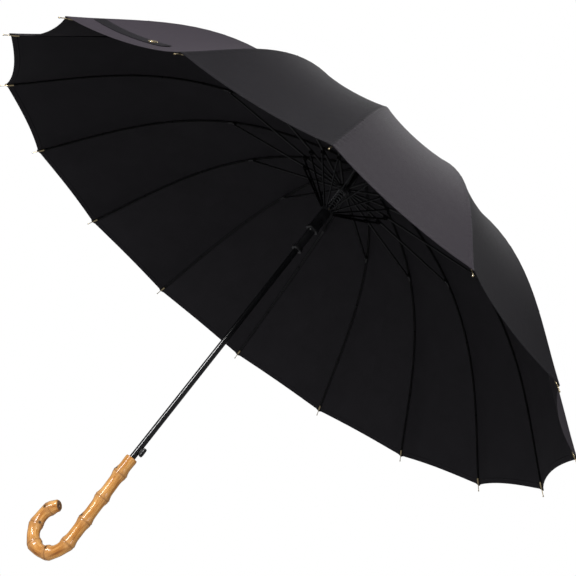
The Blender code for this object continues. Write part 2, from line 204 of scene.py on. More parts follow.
def woven(name, dark, light, pitch, sheen):
    """Tightly woven cloth: plain weave on the cloth's own coordinates, stitched
    rows along the seam and the hem, and slight puckers beside them.  On the
    outside face every other panel is painted paler as painted sheen and the
    panels between are painted darker as painted shade; the inside face keeps
    the plain cloth tone."""
    m, t, b = shader(name, light, 0.62, 0.0, Sheen_Weight=sheen,
                     Sheen_Roughness=0.30, Specular_IOR_Level=0.05)
    b.inputs["Sheen Tint"].default_value = (0.90, 0.80, 0.90, 1)
    outside = math_node(t, "SUBTRACT", 1.0, attribute(t, "inside").outputs["Fac"],
                        clamp=True)
    # painted sheen: every other panel is painted paler on its outside face
    lay = math_node(t, "MULTIPLY", outside, attribute(t, "lay").outputs["Fac"])
    uv = node(t, "ShaderNodeTexCoord").outputs["UV"]
    sep = node(t, "ShaderNodeSeparateXYZ")
    t.links.new(uv, sep.inputs[0])
    turn = 2 * math.pi / pitch
    across = math_node(t, "SINE", math_node(t, "MULTIPLY", sep.outputs[0], turn))
    along = math_node(t, "SINE", math_node(t, "MULTIPLY", sep.outputs[1], turn))
    weave = math_node(t, "MULTIPLY_ADD", math_node(t, "MULTIPLY", across, along),
                      0.5, 0.5)
    slub = noise(t, scaled(t, uv, (900, 60, 1)), 1.0, 2.0)
    cloud = noise(t, uv, 22.0, 3.0)
    shade = math_node(t, "ADD", math_node(t, "MULTIPLY", cloud, 0.5),
                      math_node(t, "MULTIPLY", slub, 0.5))
    body = ramp(t, shade, [(0.30, dark), (0.70, light)])
    body = mixed(t, math_node(t, "MULTIPLY", weave, 0.25), body,
                 tuple(c * 1.5 for c in light))
    body = mixed(t, math_node(t, "MULTIPLY", lay, 0.75), body,
                 (light[0] * 2.6, light[1] * 2.35, light[2] * 2.5))
    # painted shade: the panels between are painted darker on their outside face
    plain = math_node(t, "MULTIPLY", outside, math_node(
        t, "SUBTRACT", 1.0, attribute(t, "lay").outputs["Fac"], clamp=True))
    body = mixed(t, math_node(t, "MULTIPLY", plain, 0.15), body,
                 (dark[0] * 0.45, dark[1] * 0.45, dark[2] * 0.5))
    rim = attribute(t, "rim").outputs["Fac"]
    seam = attribute(t, "seam").outputs["Fac"]

    def band(x, at, half):
        away = math_node(t, "ABSOLUTE", math_node(t, "SUBTRACT", x, at))
        return math_node(t, "SUBTRACT", 1.0,
                         math_node(t, "DIVIDE", away, half), clamp=True)

    dash_u = math_node(t, "GREATER_THAN", math_node(
        t, "SINE", math_node(t, "MULTIPLY", sep.outputs[0], 2 * math.pi / 0.0026)),
        -0.45)
    dash_v = math_node(t, "GREATER_THAN", math_node(
        t, "SINE", math_node(t, "MULTIPLY", sep.outputs[1], 2 * math.pi / 0.0026)),
        -0.45)
    hem = math_node(t, "MULTIPLY", band(rim, 0.0066, 0.00045), dash_u)
    run = math_node(t, "MULTIPLY", band(seam, 0.0018, 0.0004), dash_v)
    stitch = math_node(t, "MAXIMUM", hem, run)
    # painted shade: the cloth is painted darker in the seam groove and along the hem
    # fold
    groove = math_node(t, "MAXIMUM", band(seam, 0.0, 0.0009),
                       band(rim, 0.0080, 0.0007))
    body = mixed(t, math_node(t, "MULTIPLY", groove, 0.55), body,
                 tuple(c * 0.35 for c in dark))
    body = mixed(t, math_node(t, "MULTIPLY", stitch, 0.6), body,
                 tuple(c * 2.6 for c in light))
    t.links.new(body, b.inputs["Base Color"])
    near = math_node(t, "MAXIMUM", band(rim, 0.004, 0.010), band(seam, 0.0, 0.008))
    pucker = math_node(t, "MULTIPLY", math_node(
        t, "SINE", math_node(t, "MULTIPLY_ADD", noise(t, uv, 160.0, 1.0), 9.0,
                             math_node(t, "MULTIPLY", math_node(
                                 t, "ADD", sep.outputs[0], sep.outputs[1]),
                                 2 * math.pi / 0.011))), near)
    height = math_node(t, "ADD", math_node(t, "MULTIPLY", weave, 0.16),
                       math_node(t, "MULTIPLY", stitch, 0.8))
    height = math_node(t, "ADD", height, math_node(t, "MULTIPLY", pucker, 0.35))
    height = math_node(t, "ADD", height, math_node(
        t, "MULTIPLY", noise(t, uv, 45.0, 2.0), 0.9))
    bump(t, b, height, 0.55, 0.0005)
    rough = math_node(t, "MULTIPLY_ADD", slub, 0.14, 0.50)
    t.links.new(rough, b.inputs["Roughness"])
    return m


def lacquer(name, color, rough, metal, grain=350.0, coat=0.0, wear=0.0):
    """Enamelled metal: fine orange peel, uneven gloss, rubbed spots."""
    m, t, b = shader(name, color, rough, metal, Coat_Weight=coat,
                     Coat_Roughness=0.07)
    at = object_space(t)
    cloud = noise(t, at, 60.0, 4.0)
    fine = noise(t, at, grain, 3.0)
    base = ramp(t, cloud, [(0.25, tuple(c * 0.72 for c in color)),
                           (0.80, tuple(c * 1.35 for c in color))])
    if wear:
        rub = ramp(t, noise(t, at, 420.0, 5.0, 0.7),
                   [(0.66, (0, 0, 0)), (0.76, (1, 1, 1))])
        base = mixed(t, math_node(t, "MULTIPLY", rub, wear), base,
                     tuple(min(1.0, c * 6 + 0.03) for c in color))
    t.links.new(base, b.inputs["Base Color"])
    r = math_node(t, "MULTIPLY_ADD", cloud, 0.10, rough - 0.05, clamp=True)
    t.links.new(r, b.inputs["Roughness"])
    bump(t, b, fine, 0.035, 0.0001)
    return m


def bright_metal(name, color, rough, grain=(900, 900, 60)):
    m, t, b = shader(name, color, rough, 1.0)
    at = object_space(t)
    brushed = noise(t, scaled(t, at, grain), 1.0, 3.0)
    spots = noise(t, at, 240.0, 4.0)
    t.links.new(ramp(t, spots, [(0.30, tuple(c * 0.78 for c in color)),
                                (0.72, color)]), b.inputs["Base Color"])
    t.links.new(math_node(t, "MULTIPLY_ADD", brushed, 0.22, rough - 0.11,
                          clamp=True), b.inputs["Roughness"])
    bump(t, b, brushed, 0.12, 0.0001)
    return m


def moulded(name, color, rough):
    """Moulded black plastic with a faint spark-eroded grain."""
    m, t, b = shader(name, color, rough, 0.0, Specular_IOR_Level=0.55)
    at = object_space(t)
    cell = node(t, "ShaderNodeTexVoronoi", _Scale=1400.0)
    t.links.new(at, cell.inputs["Vector"])
    cloud = noise(t, at, 90.0, 3.0)
    t.links.new(ramp(t, cloud, [(0.25, tuple(c * 0.7 for c in color)),
                                (0.8, tuple(c * 1.5 for c in color))]),
                b.inputs["Base Color"])
    t.links.new(math_node(t, "MULTIPLY_ADD", cloud, 0.16, rough - 0.08),
                b.inputs["Roughness"])
    bump(t, b, cell.outputs["Distance"], 0.22, 0.0002)
    return m


def bamboo_cane(name):
    """Varnished bamboo: long fibres, browned rings, dark branch scars."""
    m, t, b = shader(name, (0.52, 0.25, 0.08), 0.44, 0.0, Coat_Weight=0.75,
                     Coat_Roughness=0.10, Coat_IOR=1.5, Specular_IOR_Level=0.15)
    grain = attribute(t, "grain").outputs["Vector"]
    swell = attribute(t, "swell").outputs["Fac"]
    ring = attribute(t, "ring").outputs["Fac"]
    scar = attribute(t, "scar").outputs["Fac"]
    cutend = attribute(t, "cut").outputs["Fac"]
    fibre = noise(t, scaled(t, grain, (800, 800, 16)), 1.0, 3.0, 0.5)
    streak = noise(t, scaled(t, grain, (260, 260, 9)), 1.0, 3.0)
    blotch = noise(t, scaled(t, grain, (90, 90, 40)), 1.0, 4.0, 0.6)
    tone = math_node(t, "ADD", math_node(t, "MULTIPLY", streak, 0.62),
                     math_node(t, "MULTIPLY", blotch, 0.38))
    body = ramp(t, tone, [(0.32, (0.190, 0.060, 0.011)),
                          (0.44, (0.400, 0.160, 0.030)),
                          (0.54, (0.600, 0.300, 0.085)),
                          (0.68, (0.780, 0.510, 0.230))])
    body = mixed(t, math_node(t, "MULTIPLY", fibre, 0.24), body,
                 (0.250, 0.095, 0.022))
    # pale bloom on the swelling, brown either side of the ring
    body = mixed(t, math_node(t, "MULTIPLY", swell, 0.35), body,
                 (0.72, 0.44, 0.17))
    burn = math_node(t, "MULTIPLY", math_node(t, "MULTIPLY", swell, blotch), 0.75)
    body = mixed(t, burn, body, (0.30, 0.105, 0.025))
    body = mixed(t, math_node(t, "MULTIPLY", ring, 0.50), body,
                 (0.150, 0.058, 0.018))
    body = mixed(t, math_node(t, "MULTIPLY", scar, 0.96), body,
                 (0.022, 0.012, 0.008))
    body = mixed(t, math_node(t, "MULTIPLY", cutend, 0.85), body,
                 (0.085, 0.052, 0.034))
    t.links.new(body, b.inputs["Base Color"])
    t.links.new(math_node(t, "MULTIPLY_ADD", fibre, 0.22, 0.24),
                b.inputs["Roughness"])
    height = math_node(t, "ADD", math_node(t, "MULTIPLY", fibre, 0.5),
                       math_node(t, "MULTIPLY", streak, 0.5))
    bump(t, b, height, 0.05, 0.0003)
    return m


CLOTH = woven("pongee_cloth", (0.0085, 0.0080, 0.0092), (0.0125, 0.0116, 0.0136),
              0.0009, 0.02)
STRAP = woven("strap_webbing", (0.0060, 0.0058, 0.0068), (0.0090, 0.0086, 0.0100),
              0.0007, 0.03)
THREAD = woven("tie_thread", (0.006, 0.006, 0.007), (0.012, 0.011, 0.013),
               0.0005, 0.05)
RIB = lacquer("rib_black", (0.0035, 0.0035, 0.0038), 0.34, 0.0, 500.0, 0.0, 0.05)
SHAFT = lacquer("shaft_black", (0.0030, 0.0030, 0.0034), 0.12, 0.0, 260.0, 0.6, 0.0)
PLASTIC = moulded("runner_black", (0.0055, 0.0055, 0.0062), 0.30)
STEEL = bright_metal("spring_wire", (0.42, 0.42, 0.43), 0.26)
CHROME = bright_metal("link_nickel", (0.060, 0.060, 0.062), 0.24)
GOLD = bright_metal("tip_gold", (0.86, 0.70, 0.42), 0.26)
BAMBOO = bamboo_cane("varnished_bamboo")

# ------------------------------------------------------------ mesh helpers


class Shape:
    """Vertices and faces gathered from lofts."""

    def __init__(self):
        self.v, self.f, self.extra = [], [], {}

    def loft(self, rings, caps=True, closed=False):
        base, n = len(self.v), len(rings[0])
        for ring in rings:
            self.v += [Vector(p) for p in ring]
        m = len(rings)
        for a in range(m if closed else m - 1):
            b = (a + 1) % m
            for k in range(n):
                j = (k + 1) % n
                self.f.append((base + a * n + k, base + a * n + j,
                               base + b * n + j, base + b * n + k))
        if caps and not closed:
            self.f.append(tuple(base + k for k in range(n)))
            self.f.append(tuple(base + (m - 1) * n + k for k in range(n)))
        return self

    def turned(self, profile, steps=64, matrix=Matrix.Identity(4)):
        """Profile of (radius, height); a zero radius ends it at the axis."""
        base = len(self.v)
        rows = []
        for r, h in profile:
            if r <= 1e-9:
                rows.append([len(self.v)])
                self.v.append(matrix @ Vector((0, 0, h)))
            else:
                rows.append(list(range(len(self.v), len(self.v) + steps)))
                for k in range(steps):
                    a = 2 * math.pi * k / steps
                    self.v.append(matrix @ Vector((r * math.cos(a),
                                                   r * math.sin(a), h)))
        ends = [(profile[0][0] <= 1e-9), (profile[-1][0] <= 1e-9)]
        pairs = list(zip(rows, rows[1:]))
        if not any(ends):
            pairs.append((rows[-1], rows[0]))
        for p, q in pairs:
            for k in range(steps):
                j = (k + 1) % steps
                if len(p) == 1:
                    self.f.append((p[0], q[j], q[k]))
                elif len(q) == 1:
                    self.f.append((p[k], p[j], q[0]))
                else:
                    self.f.append((p[k], p[j], q[j], q[k]))
        return self

    def tube(self, points, radius, sides=10, closed=False):
        points = [Vector(p) for p in points]
        rings = []
        m = len(points)
        up = None
        for k, p in enumerate(points):
            before = points[(k - 1) % m] if closed else points[max(k - 1, 0)]
            after = points[(k + 1) % m] if closed else points[min(k + 1, m - 1)]
            t = (after - before).normalized()
            if up is None:
                up = t.orthogonal().normalized()
            up = (up - t * up.dot(t)).normalized()
            side = t.cross(up)
            r = radius[k] if isinstance(radius, (list, tuple)) else radius
            rings.append([p + (up * math.cos(2 * math.pi * j / sides)
                               + side * math.sin(2 * math.pi * j / sides)) * r
                          for j in range(sides)])
        if closed:
            # close without a twist step: match the nearest corner
            first, last = rings[0], rings[-1]
            best = min(range(sides), key=lambda s: sum(
                (last[k] - first[(k + s) % sides]).length for k in range(sides)))
            base = len(self.v)
            self.loft(rings, caps=False)
            for k in range(sides):
                j = (k + 1) % sides
                a = base + (m - 1) * sides
                self.f.append((a + k, a + j, base + (j + best) % sides,
                               base + (k + best) % sides))
            return self
        return self.loft(rings)

    def moved(self, matrix):
        out = Shape()
        out.v = [matrix @ p for p in self.v]
        out.f = list(self.f)
        return out


def piece(name, shape, material, body, angle=38, recalc=True, stands=(),
          uv=None):
    me = bpy.data.meshes.new(name)
    me.from_pydata([tuple(p) for p in shape.v], [], shape.f)
    if recalc:
        bm = bmesh.new()
        bm.from_mesh(me)
        bmesh.ops.recalc_face_normals(bm, faces=bm.faces)
        bm.to_mesh(me)
        bm.free()
    me.materials.append(material)
    if uv is not None:
        layer = me.uv_layers.new(name="UVMap")
        for loop in me.loops:
            layer.data[loop.index].uv = uv[loop.vertex_index]
    me.shade_smooth()
    me.set_sharp_from_angle(angle=math.radians(angle))
    ob = bpy.data.objects.new(name, me)
    scene.collection.objects.link(ob)
    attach(ob, body)
    if stands:
        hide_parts(*stands)
    return ob


def turn_to(i):
    return Matrix.Rotation(azimuth(i), 4, "Z")


def flat_points(shape, scale=1.0):
    return [(p.x * scale, p.y * scale) for p in shape.v]


# ------------------------------------------------------------------ canopy
RIM_ROWS = (0.0090, 0.0083, 0.0078, 0.0070, 0.0066, 0.0062, 0.0035, 0.0010, 0.0)
SEAM_COLS = (0.0, 0.0006, 0.0013, 0.0024, 0.0060, 0.0068)
SEAM_CAPS = (0.0, 0.02, 0.05, 0.10, 0.30, 0.34)


def rim_at(d, half):
    """Cloth length at the rim, d = 0 on the rib and 1 at mid panel."""
    u = abs(d) / 2
    a = abs(d) * half
    return RIB_LENGTH - SCALLOP * 4 * u * (1 - u) \
        + 0.0020 * math.exp(-(a / 0.0036) ** 2)


def cloth_mid(s, i, d):
    """The cloth's middle surface: rib i at d = 0, mid panel at d = -1 and 1."""
    k, u = (i, 0.5 * d) if d >= 0 else (i - 1, 1 + 0.5 * d)
    r, z = rib_point(s, CANOPY_LIFT)
    a, b = azimuth(k), azimuth(k + 1)
    p = Vector((r * math.cos(a), r * math.sin(a), z))
    q = Vector((r * math.cos(b), r * math.sin(b), z))
    width = (q - p).length
    w = min(max(u, 0.0), 1.0)
    # stretched between the ribs: nearly straight by each rib, round between
    hang = HANG * width * (4 * w * (1 - w)) ** 0.85 * min(1.0, max(0.0, s) / 0.12)
    slope = rib_slope(s)
    mid = (a + b) / 2
    inward = Vector((-math.sin(slope) * math.cos(mid),
                     -math.sin(slope) * math.sin(mid), -math.cos(slope)))
    return p.lerp(q, u) + inward * hang


def cloth_out(s, i, d):
    slope, a = rib_slope(s), azimuth(i) + d * RIB_STEP / 2
    return Vector((math.sin(slope) * math.cos(a), math.sin(slope) * math.sin(a),
                   math.cos(slope)))


def step_down(x, at, width):
    """1 below at, 0 above it, smooth over width."""
    t = min(1.0, max(0.0, (x - at) / width + 0.5))
    return 1 - t * t * (3 - 2 * t)


def cloth_faces(e, a):
    """Offsets of the outer and inner faces, e from the rim, a from the rib."""
    top = 0.00020 - 0.00040 * math.exp(-(a / 0.0005) ** 2) \
        + 0.00014 * math.exp(-((a - 0.0022) / 0.0010) ** 2)
    low = -0.00020 - 0.00032 * step_down(a, 0.0064, 0.0008)
    hem = step_down(e, 0.00805, 0.0006)
    low -= 0.00050 * hem
    top += 0.00008 * hem
    stitch = math.exp(-((e - 0.0066) / 0.0003) ** 2)
    top -= 0.00016 * stitch
    low += 0.00020 * stitch
    edge = math.exp(-(e / 0.0006) ** 2)
    top -= 0.00022 * edge
    low += 0.00040 * edge
    return top, low


def gore(name, i, s_from, s_to, rows, body, rimmed):
    """Half of each panel beside rib i, as one thin closed sheet."""
    spread = [0.48, 0.62, 0.75, 0.88, 1.0]
    table = []
    if rimmed:
        table = [("t", k / rows) for k in range(-1, rows)] \
            + [("e", e) for e in RIM_ROWS]
    else:
        table = [("t", k / rows) for k in range(-1, rows + 2)]
    cols = len(SEAM_COLS) + len(spread)
    signed = [-(cols - 1) + c for c in range(2 * cols - 1)]

    def d_at(c, half):
        k = abs(c)
        if k < len(SEAM_COLS):
            d = min(SEAM_COLS[k] / half, SEAM_CAPS[k])
        elif k < cols:
            start = min(SEAM_COLS[-1] / half, SEAM_CAPS[-1])
            d = start + (1 - start) * (k - len(SEAM_COLS) + 1) / len(spread)
        else:
            start = min(SEAM_COLS[-1] / half, SEAM_CAPS[-1])
            d = 1 + (1 - start) / len(spread)
        return math.copysign(d, c)

    span = [signed[0] - 1] + signed + [signed[-1] + 1]
    tops, lows, facts = [], [], []
    for kind, value in table:
        top_row, low_row, fact_row = [], [], []
        for c in span:
            if kind == "t":
                rough_s = s_from + (s_to - s_from) * value
            else:
                rough_s = RIB_LENGTH - value
            half = rib_point(max(rough_s, 0.001))[0] * math.sin(RIB_STEP / 2)
            d = d_at(c, half)
            last = rim_at(min(abs(d), 2 - abs(d)), half)
            if kind == "e":
                s = last - value
            elif rimmed:
                s = s_from + (last - 0.0100 - s_from) * value
            else:
                s = rough_s
            a = min(abs(d), 2 - abs(d)) * half
            mid, out = cloth_mid(s, i, d), cloth_out(s, i, d)
            hi, lo = cloth_faces(last - s, a)
            top_row.append(mid + out * hi)
            low_row.append(mid + out * lo)
            fact_row.append((d * half, s, last - s, a))
        tops.append(top_row)
        lows.append(low_row)
        facts.append(fact_row)
    first = 1
    final = len(table) - 1 if rimmed else len(table) - 2

    def normal(grid, r, c):
        down = grid[min(r + 1, len(grid) - 1)][c] - grid[r - 1][c]
        side = grid[r][c + 1] - grid[r][c - 1]
        n = side.cross(down).normalized()
        return n if n.z > 0 or n.dot(Vector((0, 0, 1))) > -0.2 and n.z > 0 else -n

    verts, normals, uvs, rim, seam, inside, lay = [], [], [], [], [], [], []
    n_cols = len(signed)
    index = {}
    for layer, grid in ((0, tops), (1, lows)):
        for r in range(first, final + 1):
            for c in range(1, n_cols + 1):
                index[layer, r, c] = len(verts)
                verts.append(grid[r][c])
                n = normal(grid, r, c)
                normals.append(n if layer == 0 else -n)
                x, s, e, a = facts[r][c]
                uvs.append((x, s))
                rim.append(e)
                seam.append(a)
                inside.append(float(layer))
                # 1 on the panels whose outside face gets the painted sheen, 0 on those
                # that get the painted shade, 0.5 on the rib
                panel = i if c > (n_cols + 1) // 2 else i - 1
                lay.append(0.5 if c == (n_cols + 1) // 2 else
                           float(panel % 2 == 0))
    faces, kinds = [], []
    for r in range(first, final):
        for c in range(1, n_cols):
            q = [index[0, r, c], index[0, r + 1, c], index[0, r + 1, c + 1],
                 index[0, r, c + 1]]
            faces.append(q)
            kinds.append(0)
            q = [index[1, r, c], index[1, r, c + 1], index[1, r + 1, c + 1],
                 index[1, r + 1, c]]
            faces.append(q)
            kinds.append(0)
    loop = [(first, c) for c in range(1, n_cols + 1)] \
        + [(r, n_cols) for r in range(first + 1, final + 1)] \
        + [(final, c) for c in range(n_cols - 1, 0, -1)] \
        + [(r, 1) for r in range(final - 1, first, -1)]
    for p, q in zip(loop, loop[1:] + loop[:1]):
        faces.append([index[0, *p], index[0, *q], index[1, *q], index[1, *p]])
        kinds.append(2 if rimmed and p[0] == final and q[0] == final else 1)
    # outward faces: the first top face must look up and out
    a, b, c = (verts[k] for k in faces[0][:3])
    if (b - a).cross(c - a).z < 0:
        faces = [f[::-1] for f in faces]
    me = bpy.data.meshes.new(name)
    me.from_pydata([tuple(p) for p in verts], [], faces)
    me.materials.append(CLOTH)
    layer = me.uv_layers.new(name="UVMap")
    for lp in me.loops:
        layer.data[lp.index].uv = uvs[lp.vertex_index]
    for key, values in (("rim", rim), ("seam", seam), ("inside", inside),
                        ("lay", lay)):
        at = me.attributes.new(key, "FLOAT", "POINT")
        at.data.foreach_set("value", values)
    me.shade_smooth()
    custom = [None] * len(me.loops)
    for poly, kind in zip(me.polygons, kinds):
        flat = poly.normal.copy()
        for li in poly.loop_indices:
            vn = normals[me.loops[li].vertex_index]
            custom[li] = tuple(flat if kind else vn)
    me.normals_split_custom_set(custom)
    ob = bpy.data.objects.new(name, me)
    scene.collection.objects.link(ob)
    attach(ob, body)
    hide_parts("canopy")
    width = 2 * (verts[index[0, final, n_cols]]
                 - verts[index[0, final, (n_cols + 1) // 2]]).length
    length = (s_to if not rimmed else RIB_LENGTH) - s_from
    area = 0.0
    for poly, kind in zip(me.polygons, kinds):
        if kind == 0:
            area += poly.area / 2
    area = min(area, width * length)
    r, z = rib_point(s_from)
    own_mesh(ob)
    return ob


CROWN_EDGE = 0.0040          # cloth length where the fixed crown disc ends


def crown_disc():
    """Cloth over the crown, fixed under the rosette."""
    rings = []
    cols = 8 * N_RIBS
    for lift in (0.0002, -0.0002):
        for k in range(5):
            ring = []
            t = k / 4
            for j in range(cols):
                i, c = divmod(j, 8)
                s = CROWN_EDGE
                edge = cloth_mid(s, i, c / 4 if c <= 4 else 0) if c <= 4 else \
                    cloth_mid(s, i + 1, -(8 - c) / 4)
                a = math.atan2(edge.y, edge.x)
                inner = Vector((0.0058 * math.cos(a), 0.0058 * math.sin(a),
                                CROWN_Z + CANOPY_LIFT))
                ring.append(inner.lerp(edge, t) + Vector((0, 0, lift)))
            rings.append(ring)
    order = rings[:5] + rings[:4:-1]
    s = Shape()
    s.loft(order, caps=False, closed=True)
    uv = flat_points(s)
    ob = piece("canopy_crown", s, CLOTH, "frame", 50,
               stands=("canopy",), uv=uv)
    for key in ("rim", "seam"):
        at = ob.data.attributes.new(key, "FLOAT", "POINT")
        at.data.foreach_set("value", [0.05] * len(ob.data.vertices))
    return ob


crown_disc()
for i in range(N_RIBS):
    gore(f"canopy_inner_{i + 1:02d}", i, CROWN_EDGE, RIB_JOINT, 13,
         f"rib_{i + 1:02d}", False)
    gore(f"canopy_outer_{i + 1:02d}", i, RIB_JOINT, RIB_LENGTH, 15,
         f"rib_end_{i + 1:02d}", True)

# -------------------------------------------------------------------- ribs
MM = 0.001
CHANNEL = [(-1.5, -1.3), (-1.5, 0.55), (-1.33, 0.98), (-0.95, 1.24),
           (-0.4, 1.34), (0.4, 1.34), (0.95, 1.24), (1.33, 0.98), (1.5, 0.55),
           (1.5, -1.3), (1.08, -1.3), (1.08, 0.42), (0.8, 0.76),
           (-0.8, 0.76), (-1.08, 0.42), (-1.08, -1.3)]


def section_ring(r, z, slope, section, sx=1.0, sy=1.0, azim=0.0):
    """A section of (across, out) millimetres at a point of a radial plane whose
    line falls at the slope."""
    n = Vector((math.sin(slope), 0, math.cos(slope)))
    t = Vector((0, 1, 0))
    at = Vector((r, 0, z))
    return [at + t * (x * sx * MM) + n * (y * sy * MM) for x, y in section]


def round_section(radius, sides=16):
    return [(radius * math.cos(2 * math.pi * k / sides),
             radius * math.sin(2 * math.pi * k / sides)) for k in range(sides)]


def along_rib(s0, s1, n, section, shape, lift=0.0, size=None):
    rings = []
    for k in range(n + 1):
        s = s0 + (s1 - s0) * k / n
        r, z = rib_point(s, lift)
        g = size(k / n) if size else 1.0
        rings.append(section_ring(r, z, rib_slope(s), section, g, g))
    shape.loft(rings)


def plate(shape, a, b, radius_a, radius_b, half, waist, turns=14):
    """A flat link in the radial plane with a round eye at each end; a and b
    are (r, z)."""
    a, b = Vector((a[0], 0, a[1])), Vector((b[0], 0, b[1]))
    d = (b - a).normalized()
    n = Vector((-d.z, 0, d.x))
    outline = []
    for centre, radius, base in ((a, radius_a, math.pi), (b, radius_b, 0.0)):
        open_by = math.asin(min(0.95, waist / radius))
        for k in range(turns + 1):
            th = base - (math.pi - open_by) + 2 * (math.pi - open_by) * k / turns
            outline.append(centre + (d * math.cos(th) + n * math.sin(th)) * radius)
    t = Vector((0, 1, 0))
    ease = 0.00018
    mid = sum(outline, Vector()) / len(outline)
    inset = [p + (mid - p).normalized() * ease for p in outline]
    shape.loft([[p - t * half for p in inset],
                [p - t * (half - ease) for p in outline],
                [p + t * (half - ease) for p in outline],
                [p + t * half for p in inset]])


def rivet(shape, at, half, radius=0.0011):
    """Domed rivet across the radial plane."""
    m = Matrix.Translation((at[0], 0, at[1])) @ Matrix.Rotation(math.pi / 2, 4, "X")
    shape.turned([(0, half + 0.0007), (radius * 0.55, half + 0.00055),
                  (radius * 0.9, half + 0.0003), (radius, half),
                  (radius * 0.55, half - 0.0001), (radius * 0.55, -half + 0.0001),
                  (radius, -half), (radius * 0.9, -half - 0.0003),
                  (radius * 0.55, -half - 0.00055), (0, -half - 0.0007)], 14, m)


# Inner rib: channel, flattened where it enters the crown.
inner = Shape()
rings = []
n = 22
for k in range(n + 1):
    s = -0.0012 + (RIB_JOINT - 0.00045 + 0.0012) * k / n
    r, z = rib_point(max(s, 0.0)) if s >= 0 else (RIB_PIVOT_R + s, CROWN_Z)
    narrow = 0.80 if s < 0.004 else (0.80 + 0.20 * min(1.0, (s - 0.004) / 0.012))
    rings.append(section_ring(r, z, rib_slope(max(s, 0)), CHANNEL, narrow, 1.0))
inner.loft(rings)

# Saddle clip round the rib that carries the stretcher, with two ears.
clip = Shape()
EAR = [(-1.95, -3.4), (-1.95, 0.9), (-1.6, 1.45), (-0.9, 1.72), (0.9, 1.72),
       (1.6, 1.45), (1.95, 0.9), (1.95, -3.4), (1.62, -3.4), (1.62, 0.8),
       (1.3, 1.25), (0.8, 1.42), (-0.8, 1.42), (-1.3, 1.25), (-1.62, 0.8),
       (-1.62, -3.4)]
rings = []
for k, off in enumerate((-0.0046, -0.0042, -0.0020, 0.0012, 0.0016)):
    s = RIB_JOINT - LUG_BACK + off
    r, z = rib_point(s)
    shape = [(x, y if y > 0 or 0 < k < 4 and k != 1 or y > 0
              else y * 0.45) for x, y in EAR]
    if k in (2, 3):
        shape = [(x, y * 1.42 if y < 0 else y) for x, y in EAR]
    rings.append(section_ring(r, z, rib_slope(s), shape))
clip.loft(rings)
pin = Shape()
rivet(pin, LUG, 0.00205)

# Outer rib, narrowing toward the gilt tip, with a wrap over it at the hinge.
outer = Shape()
TIP_FROM = RIB_LENGTH - 0.0118
along_rib(RIB_JOINT + 0.00045, TIP_FROM + 0.001, 30, CHANNEL, outer,
          size=lambda t: 1.0 - 0.16 * t)
hinge_wrap = Shape()
WRAP = [(x * 1.16, y * 1.16 + 0.02) for x, y in
        [(-1.5, -1.3), (-1.5, 0.55), (-1.33, 0.98), (-0.95, 1.24), (-0.4, 1.34),
         (0.4, 1.34), (0.95, 1.24), (1.33, 0.98), (1.5, 0.55), (1.5, -1.3)]]
along_rib(RIB_JOINT + 0.0012, RIB_JOINT + 0.0092, 4, WRAP, hinge_wrap)

# Gilt tip: cap over the rib end, thin pin and a small ball.
tip = Shape()
stations = [(TIP_FROM, 1.40), (TIP_FROM + 0.0003, 1.75), (TIP_FROM + 0.0012, 1.85),
            (TIP_FROM + 0.0016, 1.70), (TIP_FROM + 0.0022, 1.85),
            (TIP_FROM + 0.0060, 1.80), (TIP_FROM + 0.0085, 1.50),
            (TIP_FROM + 0.0098, 1.10), (TIP_FROM + 0.0106, 0.80),
            (RIB_LENGTH + 0.0020, 0.66), (RIB_LENGTH + 0.0082, 0.62),
            (RIB_LENGTH + 0.0088, 0.74), (RIB_LENGTH + 0.0093, 0.96),
            (RIB_LENGTH + 0.0099, 1.05), (RIB_LENGTH + 0.0106, 0.92),
            (RIB_LENGTH + 0.0110, 0.55)]
rings = []
for s, radius in stations:
    r, z = rib_point(s)
    rings.append(section_ring(r, z, rib_slope(s), round_section(radius, 14)))
tip.loft(rings)


def thread_tie(s, shape):
    """Loop of thread that holds the seam to the rib."""
    r, z = rib_point(s, 0.0006)
    slope = rib_slope(s)
    n = Vector((math.sin(slope), 0, math.cos(slope)))
    t = Vector((0, 1, 0))
    d = Vector((math.cos(slope), 0, -math.sin(slope)))
    for turn, off in enumerate((-0.0005, 0.0, 0.0005)):
        pts = []
        for k in range(14):
            a = 2 * math.pi * k / 14
            pts.append(Vector((r, 0, z)) + d * off + t * (0.00190 * math.cos(a))
                       + n * (0.00215 * math.sin(a) - 0.0002))
        shape.tube(pts, 0.00026, 6, closed=True)


ties_in, ties_out = Shape(), Shape()
thread_tie(0.120, ties_in)
thread_tie(0.345, ties_out)
thread_tie(0.470, ties_out)

# Stretcher: channel open toward the rib, flattened tongue at the runner.
START = (RUNNER_PIVOT_R, UPPER_Z)
reach = Vector((LUG[0] - START[0], 0, LUG[1] - START[1]))
REACH = reach.length
S_DIR = reach.normalized()
S_SLOPE = -math.asin(S_DIR.z)


def on_stretcher(x, drop=0.0):
    n = Vector((math.sin(S_SLOPE), 0, math.cos(S_SLOPE)))
    p = Vector((START[0], 0, START[1])) + S_DIR * x - n * drop
    return p.x, p.z


